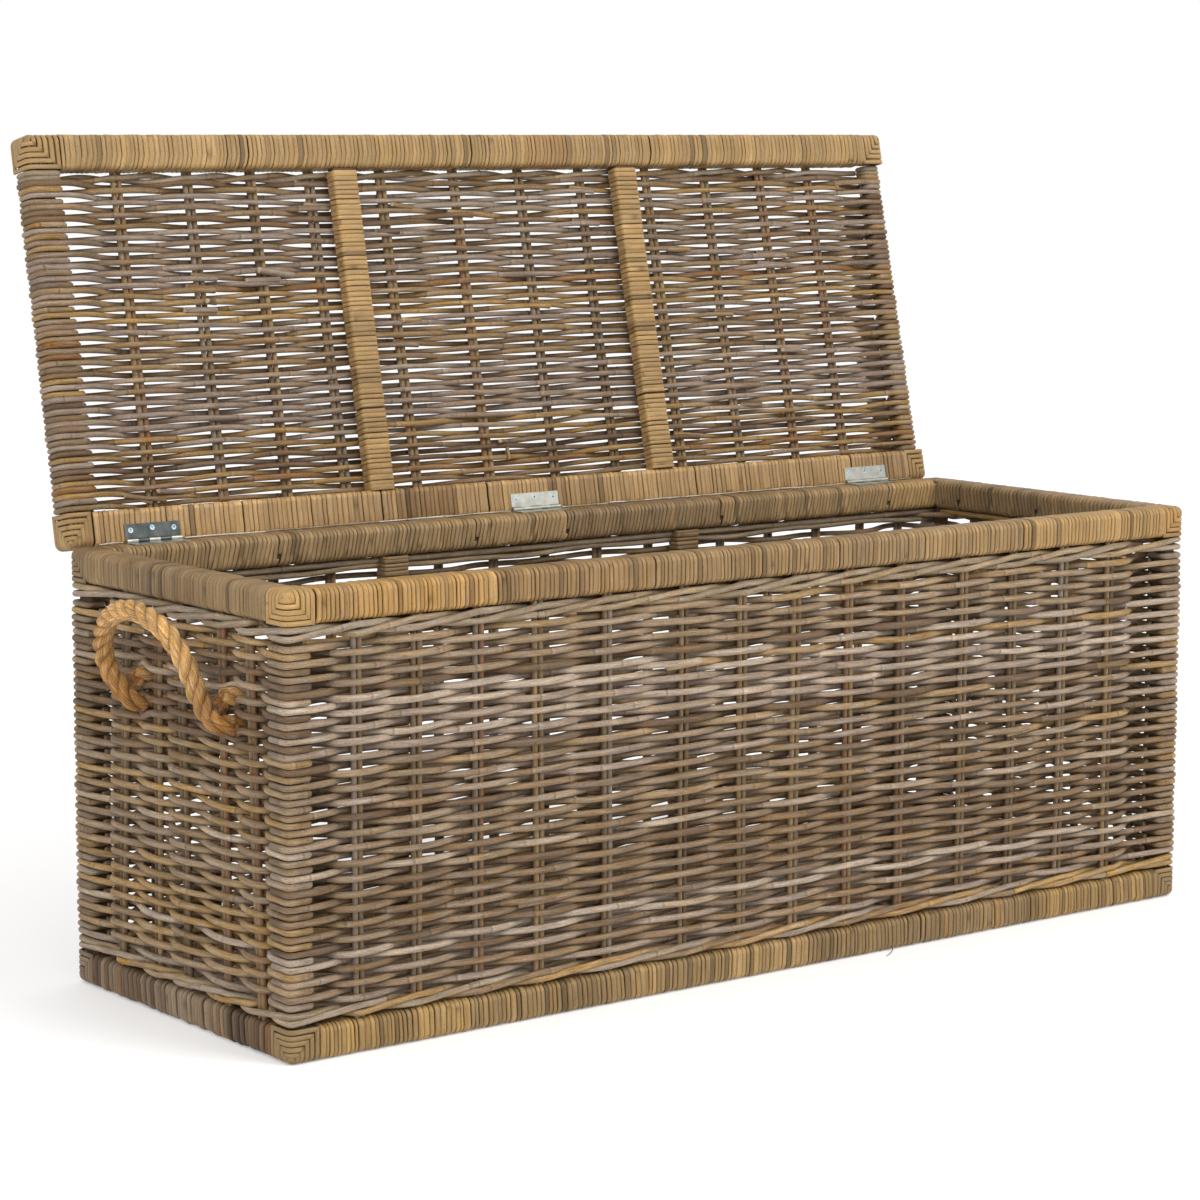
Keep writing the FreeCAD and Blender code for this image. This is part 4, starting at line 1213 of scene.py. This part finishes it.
# the side windings go on up to the corners
for sgn in (-1, 1):
    E = side_ring(sgn)
    for t_ in (-184.2, -179.0):
        q = densify(E["ring"], True, 3.2)
        R_ = lidp.at(q[:, 0], q[:, 1], t_ + 0.5 * np.sin(np.linspace(0, 2 * np.pi, len(q), endpoint=False)))
        c_, r_ = looks(cum(R_), rng, "wale", None, 3.05, (60, 180), 0.35)
        b_side.add(R_, r_, lidp.T, c_ * 0.9, closed=True)
two_pieces("lid_weavers", b_main, rng, M_WEAVE, "lid", "kubu_weave", ["lid_weave"], open_lid)
piece("lid_side_windings", b_side, rng, M_WEAVE, "lid", "kubu_weave", ["lid_side_weave"], open_lid)
b = Bag()
stake_rods(b, lidp, lid_stakes, LY0 + 18.0, LY1 - 16.0, rng)
piece("lid_stake_rods", b, rng, M_STAKE, "lid", "stake_rods", ["lid_stakes"], open_lid)

# ends of canes laid back beside the right side rail, behind the weave, which close its gaps there; their colour is
# darkened (x0.8) as painted shade
r_tail = np.random.default_rng(404)
edge_ = side_ring(1)["edge"]
b = Bag()
for t0, t1 in zip(LROWS[:-1], LROWS[1:]):
    if r_tail.random() < 0.12:
        continue
    q = np.linspace(edge_ - r_tail.uniform(24, 42), edge_ + 4.0, 9)
    n_ = np.interp(np.linspace(0, 1, 9), [0, 0.3, 1], [-3.4, -2.6, -5.2])
    P = lidp.at(q, n_, np.full(9, (t0 + t1) / 2 + r_tail.uniform(-0.7, 0.7)))
    C, R = looks(cum(P), r_tail, "lidweave", None, r_tail.uniform(2.3, 2.9), nodes=[])
    b.add(P, R, lidp.T, C * 0.8, cut=(150, 130, 100))
piece("lid_tucked_ends", b, r_tail, M_WEAVE, "lid", "kubu_weave", (), open_lid)

# cut ends of canes that stand out of the lid's weave
b = Bag()
for x, y, ang, up_, ln, r_ in LOOSE:
    d_ = np.array([math.cos(math.radians(ang)), math.sin(math.radians(ang)), 0.0])
    o = np.array([x, y, LM - 5.5])
    u_ = np.linspace(0, 1, 9)
    P = o + d_ * (u_ * ln)[:, None] - np.array([0, 0, 1.0]) * (up_ * u_ ** 1.3)[:, None]
    C, R = looks(cum(P), rng, "lidweave", None, r_, nodes=[])
    b.add(P, R, (0, 1, 0), C, cut=(214, 196, 160))
piece("lid_cut_ends", b, rng, M_WEAVE, "lid", "kubu_weave", (), open_lid)

for side, yc in (("front", LY0 + LRAIL / 2), ("back", LY1 - LRAIL / 2)):
    b = Bag()
    # +Y of the section points away from the lid's middle
    s = -1 if side == "front" else 1
    marks = [(-344.0, -340.0, (80, 58, 38), .7), (34.0, 92.0, (140, 100, 56), .35), (150.0, 154.0, (88, 66, 44), .6)] \
        if s < 0 else [(-200.0, -122.0, (98, 68, 38), .62), (6.0, 14.0, (92, 64, 44), .7), (24.0, 28.0, (100, 76, 54), .6)]
    wind(b, (0, yc, LZ0 + 16.0), X_, (0, s, 0), Z_, LX0 + LCORNER[-1, s] - 1.4, LX1 - LCORNER[1, s] + 1.4, LRAIL / 2, 16.0, 6.5, rng,
         "lidstrip" if s < 0 else "lidrear", inner=0, patches=marks, pitch=5.7 if s < 0 else 6.0, thick=1.15, full=(0.88, 0.97), slant=-7.0 if s < 0 else 1.5, wear_and_highlight=0.12 if s < 0 else 0.26)
    piece("lid_%s_winding" % side, b, rng, M_STRIP, "lid", "rattan_strip", ["lid_%s_rail_wrap" % side], open_lid)
for side, x in zip(("left", "right"), LID_BARS):
    b = Bag()
    wind(b, (x, 0, LZ0 + 9.0), Y_, X_, Z_, LY0 + LRAIL, LY1 - LRAIL, 16.0, 9.0, 4.5, rng, "bar", inner=1, pitch=5.4, thick=0.95, vary=0.09, skew=1.6,
         full=(0.90, 0.98))
    piece("lid_%s_bar_winding" % side, b, rng, M_STRIP, "lid", "rattan_strip", ["lid_%s_bar_wrap" % side], open_lid)
b = Bag()
for sx, vx in ((-1, LX0), (1, LX1)):
    for sy, vy in ((-1, LY0), (1, LY1)):
        corner_core(b, (vx, vy, LZ0), (-sx, 0, 0), (0, -sy, 0), (0, 0, 1), (LCORNER[sx, sy], LRAIL - 4.0, 28.5), 3.4)
        # on top the rail's winding goes on to the end, under the nested loops
        xa, xb = sorted((vx - sx * 2.4, vx - sx * LCORNER[sx, sy]))
        wind(b, (0, vy - sy * LRAIL / 2, LZ0 + 17.3), X_, (0, sy, 0), Z_, xa, xb, LRAIL / 2 - 1.8, 14.6, 7.0, rng, "lidstrip", inner=0)
        corner_block(b, (vx, vy, LZ0), (-sx, 0, 0), (0, -sy, 0), (0, 0, 1), rng, "lidstrip", size=(LCORNER[sx, sy], LRAIL, 32.0))
piece("lid_corner_windings", b, rng, M_STRIP, "lid", "rattan_strip", ["lid_corner_wraps"], open_lid)

# ---------------------------------------------------------------------------
# floor
# ---------------------------------------------------------------------------
floorp = Panel((0, 0, 19.0), (1, 0, 0), (0, 0, 1), (0, 1, 0))
FS = list(np.linspace(-520, 520, 14))
b, b2 = Bag(), Bag()
weave(b, b2, floorp, FS, list(np.linspace(-166, 166, 49)), {"kind": "tuck", "s": -570.0, "n": 0.0},
      {"kind": "tuck", "s": 570.0, "n": 0.0}, rng, d=6.6, amp=3.6, parity=0)
piece("floor_weavers", b, rng, M_WEAVE, "trunk_body", "kubu_weave", ["floor_weave"])

# ---------------------------------------------------------------------------
# rope handles
# ---------------------------------------------------------------------------
def nurbs_points(pts, res=24):
    cu = bpy.data.curves.new("route", "CURVE")
    cu.dimensions = "3D"
    sp = cu.splines.new("NURBS")
    sp.points.add(len(pts) - 1)
    for p, q in zip(sp.points, pts):
        p.co = (*q, 1.0)
    sp.order_u = 3
    sp.use_endpoint_u = True
    cu.resolution_u = res
    ob = bpy.data.objects.new("route", cu)
    bpy.context.scene.collection.objects.link(ob)
    bpy.context.view_layer.update()
    me = bpy.data.meshes.new_from_object(ob)
    out = np.array([v.co[:] for v in me.vertices])
    bpy.data.objects.remove(ob)
    bpy.data.curves.remove(cu)
    bpy.data.meshes.remove(me)
    return out


def rope_strands(bag, path, rng, D=20.0, lay=54.0, phase=0.0, yarn=13):
    """Three laid strands along path (mm)."""
    L = cum(path)
    n = int(L[-1] / 1.6)
    at = np.linspace(0, L[-1], n)
    P = np.stack([np.interp(at, L, path[:, k]) for k in range(3)], 1)
    T = norm(np.gradient(P, axis=0))
    # a frame that turns with the path
    ref = np.zeros_like(P)
    v = np.array([0, 0, 1.0]) if abs(T[0][2]) < 0.8 else np.array([1.0, 0, 0])
    for i in range(n):
        v = v - v.dot(T[i]) * T[i]
        v /= np.linalg.norm(v)
        ref[i] = v
    bi = np.cross(T, ref)
    rs, rh = D * 0.257, D * 0.249
    for k in range(3):
        ph = phase + 2 * np.pi * k / 3 + 2 * np.pi * at / lay
        off = ref * np.cos(ph)[:, None] + bi * np.sin(ph)[:, None]
        Q = P + off * rh
        K = 18
        a = np.arange(K) * 2 * np.pi / K
        base = lin((191, 149, 95)) * rng.uniform(0.93, 1.06)
        far = np.clip(2.2 * at / at[-1] - 0.7, 0, 1)
        low = (np.clip((Q[:, 2] - 300.0) / (115.0 - 65.0 * far), 0, 1) ** (0.8 + 0.7 * far))[:, None]
        near = np.clip(1.0 - 2.6 * at / at[-1], 0, 1)[:, None] * np.array([0.0, 0.05, 0.15])
        C = base[None] * (1 - near) * (np.array([0.54, 0.42, 0.30]) + (1 - np.array([0.54, 0.42, 0.30])) * low) * (1 + 0.10 * np.sin(at / 17 + rng.uniform(0, 6)) + 0.05 * np.sin(at / 5 + rng.uniform(0, 6)))[:, None]
        bag.add(Q, rs, off, C, prof=circle(K), cut=(150, 96, 48))
        # yarn lines: slender cords laid along each strand, against its twist
        m_ = yarn
        for y in range(m_):
            a_ = 2 * np.pi * y / m_ - 2 * np.pi * at / (lay * 0.50)
            T2 = norm(np.gradient(Q, axis=0))
            o1 = norm(off - (off * T2).sum(1, keepdims=True) * T2)
            o2 = np.cross(T2, o1)
            Y = Q + (o1 * np.cos(a_)[:, None] + o2 * np.sin(a_)[:, None]) * (rs * 0.87)
            # painted shade: yarns that face into the rope, in the grooves between strands, are darker than those on a
            # strand's crown
            cc = C * rng.uniform(0.58, 1.30) * (0.64 + 0.42 * np.clip(np.cos(a_), 0, 1))[:, None]
            bag.add(Y, rs * rng.uniform(0.17, 0.22), o1, cc, prof=circle(5))


def fibres(bag, origins, dirs, rng, length=(6, 16), r=0.16, droop=0.4, table=((196, 152, 98), (170, 126, 74))):
    for o, d in zip(origins, dirs):
        ln = rng.uniform(*length)
        k = 6
        u = np.linspace(0, 1, k)
        side = norm(np.cross(d, rng.normal(size=3)))
        P = o + d * (u * ln)[:, None] + side * (np.sin(u * rng.uniform(1, 3)) * ln * rng.uniform(0.1, 0.35))[:, None]
        P[:, 2] -= droop * ln * u ** 2
        c = lin(table[rng.integers(0, len(table))]) * rng.uniform(0.85, 1.1)
        bag.add(P, np.linspace(r, r * 0.5, k), side, c, prof=circle(3))


def half_turn(V):
    return V * np.array([-1.0, -1.0, 1.0])


route_mm = [(-597.0, 62.0, 311.0)] + [(AXIS_X - v * math.sin(LEAN), y, ROPE_Z + v * math.cos(LEAN)) for y, v in ROPE_ROUTE] \
    + [(-597.0, -106.0, 311.0)]
for hand in ("left", "right"):
    rng = np.random.default_rng(31 if hand == "left" else 32)
    xf = None if hand == "left" else half_turn
    sgn = 1.0 if hand == "left" else -1.0
    route = [(sgn * x * MM, sgn * y * MM, z * MM) for x, y, z in route_mm]
    line = nurbs_points(route)
    b = Bag()
    rope_strands(b, line / MM, rng)
    ob = piece("%s_rope_handle" % hand, b, rng, M_ROPE, None, "manila_rope")
    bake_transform(ob)
    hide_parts("%s_handle_rope" % hand)
    # hairs on the loop
    b = Bag()
    P = line / MM
    n = 420
    k = rng.choice(np.nonzero(np.abs(P[:, 0]) > 621.0)[0], n)
    T = norm(np.gradient(P, axis=0))[k]
    rad = norm(np.cross(T, rng.normal(size=(n, 3))))
    fibres(b, P[k] + rad * 9.2, norm(rad * 0.6 + T * rng.choice([-1, 1], n)[:, None] * 1.0), rng, (3, 9), 0.11, 0.1)
    ob = piece("%s_rope_hairs" % hand, b, rng, M_ROPE, "%s_handle" % hand, "manila_rope")
    # tails: through the wall, round inside, out again above, cut and frayed
    b, bf = Bag(), Bag()
    for ey, ty, end in ((62.0, 60.5, 0), (-106.0, -103.0, 1)):
        pts = [(-598.0, ey, 311.0), (-586.0, ey, 311.0), (-572.0, ey, 313.0), (-567.0, (ey + ty) / 2, 324.5),
               (-572.0, ty, 336.0), (-586.0, ty, 338.0), (-597.0, ty + 0.5, 338.0), (-604.5, ty + 1.5, 337.0)]
        t = nurbs_points([(x * MM, y * MM, z * MM) for x, y, z in pts]) / MM
        rope_strands(b, t, rng, D=19.0, lay=50.0, phase=1.0 + end)
        tip, d = t[-1], norm(t[-1] - t[-4])
        n = 240
        o = tip + norm(rng.normal(size=(n, 3))) * rng.uniform(0, 8.5, n)[:, None] * np.array([0.25, 1, 1])
        dirs = norm(d + rng.normal(size=(n, 3)) * 0.33 + np.array([0, 0, -0.12]))
        fibres(bf, o - d * 4, dirs, rng, (5, 13), 0.24, 0.25, ((168, 112, 52), (140, 88, 38), (186, 132, 70)))
    ob = piece("%s_rope_tails" % hand, b, rng, M_ROPE, "trunk_body", "manila_rope", ["%s_handle_tails" % hand], xf)
    ob = piece("%s_frayed_ends" % hand, bf, rng, M_ROPE, "trunk_body", "manila_rope", (), xf)

# ---------------------------------------------------------------------------
# hinge screws with cross recesses
# ---------------------------------------------------------------------------
def screws(name, places, down, body, replaces, xf=None, r=2.9, shank=1.4, length=16.0):
    """Countersunk screws at places (x, y, z of the flat head), pointing down (-1) or up (1)."""
    A = 32
    th = (np.arange(A) + 0.5) * 2 * np.pi / A
    rng = np.random.default_rng(9)
    V, F, UV = [], [], []
    n = len(places)
    cols = int(math.ceil(math.sqrt(n)))
    for q, (x, y, z) in enumerate(places):
        turn = rng.uniform(0, np.pi / 2)
        a = th + turn
        f = np.abs((th + np.pi / 4) % (np.pi / 2) - np.pi / 4)
        w, arm = 0.42, 1.75
        cross = np.where(np.tan(f) <= w / arm, arm / np.cos(f), w / np.maximum(np.sin(f), 1e-6))
        one = np.ones(A)
        rings = [(0.02 * one, -length), (shank * one, -length + 2.2), (shank * one, -1.6), (r * one, -0.06), ((r - 0.12) * one, 0.0),
                 ((r - 0.75) * one, 0.0), (cross, -0.02), (cross * 0.92, -0.25), (cross * 0.66, -1.15), (0.02 * one, -1.25)]
        base = len(V) and sum(len(v) for v in V) or 0
        for rr, h in rings:
            V.append(np.stack([x + rr * np.cos(a), y + rr * np.sin(a) * (-down), (z - down * h) * one], 1))
        cx, cy = q % cols, q // cols
        R = len(rings)
        for i in range(R - 1):
            for j in range(A):
                j2 = (j + 1) % A
                F.append((base + i * A + j, base + i * A + j2, base + (i + 1) * A + j2, base + (i + 1) * A + j))
                for (ii, jj) in ((i, j), (i, j + 1), (i + 1, j + 1), (i + 1, j)):
                    UV.append(((cx + 0.03 + 0.94 * jj / A) / cols, (cy + 0.03 + 0.94 * ii / (R - 1)) / cols))
    V = np.concatenate(V)
    if xf is not None:
        V = xf(V)
    me = bpy.data.meshes.new(name)
    me.from_pydata((V * MM).tolist(), [], F)
    for lname in ("strand", "OFBake"):
        me.uv_layers.new(name=lname).data.foreach_set("uv", np.array(UV, np.float32).ravel())
    me.materials.append(M_SCREW)
    me.update()
    ob = bpy.data.objects.new(name, me)
    bpy.context.scene.collection.objects.link(ob)
    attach(ob, body)
    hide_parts(*replaces)
    made[name] = len(F)


def turn_only(V):
    y, z = V[:, 1] - PIN_Y, V[:, 2] - PIN_Z
    return np.stack([V[:, 0], PIN_Y + y * co - z * si_, PIN_Z + y * si_ + z * co], 1)


HINGE_X = (-503.0, -14.0, 480.0)
SCREW_OFF = ((-25.5, 11.0), (0.0, 12.4), (25.5, 11.0))
screws("hinge_screws", [(hx + dx, PIN_Y - off, 451.0) for hx in HINGE_X for dx, off in SCREW_OFF], -1, "trunk_body",
       ["body_hinge_screws"])
screws("lid_screws", [(hx + dx, PIN_Y - off, 454.0) for hx in HINGE_X for dx, off in SCREW_OFF], 1, "lid",
       ["lid_hinge_screws"], turn_only)

# loose fibres that lie along the rim behind the lid's rail
rng = np.random.default_rng(64)
b = Bag()
for x0, x1 in ((-566.0, -540.0), (-466.0, -50.0), (22.0, 444.0), (516.0, 552.0)):
    x = x0
    while x < x1 - 12:
        ln = min(rng.uniform(50, 150), x1 - x)
        for _ in range(2):
            u = np.linspace(0, 1, 12)
            yy = 199.6 + rng.uniform(-1.4, 1.2) + 0.7 * np.sin(u * rng.uniform(2, 7) + rng.uniform(0, 6))
            zz = 450.9 + rng.uniform(0, 0.8) + 0.3 * np.sin(u * rng.uniform(3, 8) + rng.uniform(0, 6)) - 0.09 * np.maximum(yy - 198.0, 0) ** 2
            P = np.stack([x + u * ln, yy, zz], 1)
            b.add(P, rng.uniform(0.4, 0.75), (0, 0, 1), lin(((196, 186, 170), (160, 142, 118), (212, 206, 196))[rng.integers(0, 3)]) * 0.9,
                  prof=circle(5))
        x += ln * rng.uniform(0.6, 0.95)
piece("rim_fibres", b, rng, M_WEAVE, "trunk_body", "kubu_weave")

# one loose fibre that lies on the floor by the front of the base
b = Bag()
u = np.linspace(0, 1, 10)
P = np.stack([162.0 - 24.0 * u ** 1.6, -203.0 - 19.0 * u, 3.0 * (1 - u) ** 2 + 0.7], 1)
b.add(P, np.linspace(0.55, 0.35, 10), (0, 0, 1), lin((86, 74, 60)), prof=circle(5))
piece("loose_fibre", b, rng, M_WEAVE, "trunk_body", "kubu_weave")

# ---------------------------------------------------------------------------
# carried-over CAD nodes
# ---------------------------------------------------------------------------
for name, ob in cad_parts.items():
    if ob.hide_render:
        continue
    mat = M_CORE
    if "hinge" in name:
        mat = M_ZINC_DULL if name == "left_hinge_lid_leaf" else M_ZINC
    ob.data.materials.clear()
    ob.data.materials.append(mat)

# ---------------------------------------------------------------------------
# floor, light
# ---------------------------------------------------------------------------
def flat_material(name, c, rough=0.9):
    mat = bpy.data.materials.new(name)
    mat.use_nodes = True
    bs = next(n for n in mat.node_tree.nodes if n.type == "BSDF_PRINCIPLED")
    bs.inputs["Base Color"].default_value = (*c, 1)
    bs.inputs["Roughness"].default_value = rough
    bs.inputs["Specular IOR Level"].default_value = 0.0
    return mat


me = bpy.data.meshes.new("studio_floor")
me.from_pydata([(-14, -14, -0.0005), (14, -14, -0.0005), (14, 14, -0.0005), (-14, 14, -0.0005)], [], [(0, 1, 2, 3)])
floor = bpy.data.objects.new("studio_floor", me)
bpy.context.scene.collection.objects.link(floor)
white = flat_material("studio_white", (0.84, 0.84, 0.84))
bs = next(n for n in white.node_tree.nodes if n.type == "BSDF_PRINCIPLED")
bs.inputs["Emission Color"].default_value = (1, 1, 1, 1)
bs.inputs["Emission Strength"].default_value = 0.16
me.materials.append(white)

world = bpy.data.worlds.new("studio")
world.use_nodes = True
bg = next(n for n in world.node_tree.nodes if n.type == "BACKGROUND")
bg.inputs["Color"].default_value = (1, 1, 1, 1)
bg.inputs["Strength"].default_value = 1.0
bpy.context.scene.world = world


def area(name, loc, target, size, power, colour=(1, 1, 1)):
    li = bpy.data.lights.new(name, "AREA")
    li.shape = "SQUARE"
    li.size = size
    li.energy = power
    li.color = colour
    ob = bpy.data.objects.new(name, li)
    bpy.context.scene.collection.objects.link(ob)
    ob.location = loc
    d = Vector(target) - Vector(loc)
    ob.rotation_euler = d.to_track_quat("-Z", "Y").to_euler()
    return ob


area("key", (1.2, -3.4, 3.2), (0, 0, 0.4), 2.2, 95, (1.0, 0.985, 0.96))
area("fill", (-3.4, -1.6, 2.4), (0, 0, 0.35), 2.0, 40)
bpy.context.scene.view_settings.view_transform = "Standard"
bpy.context.scene.view_settings.look = "None"

print("PIECES", {k: v for k, v in made.items()}, "faces", sum(made.values()))
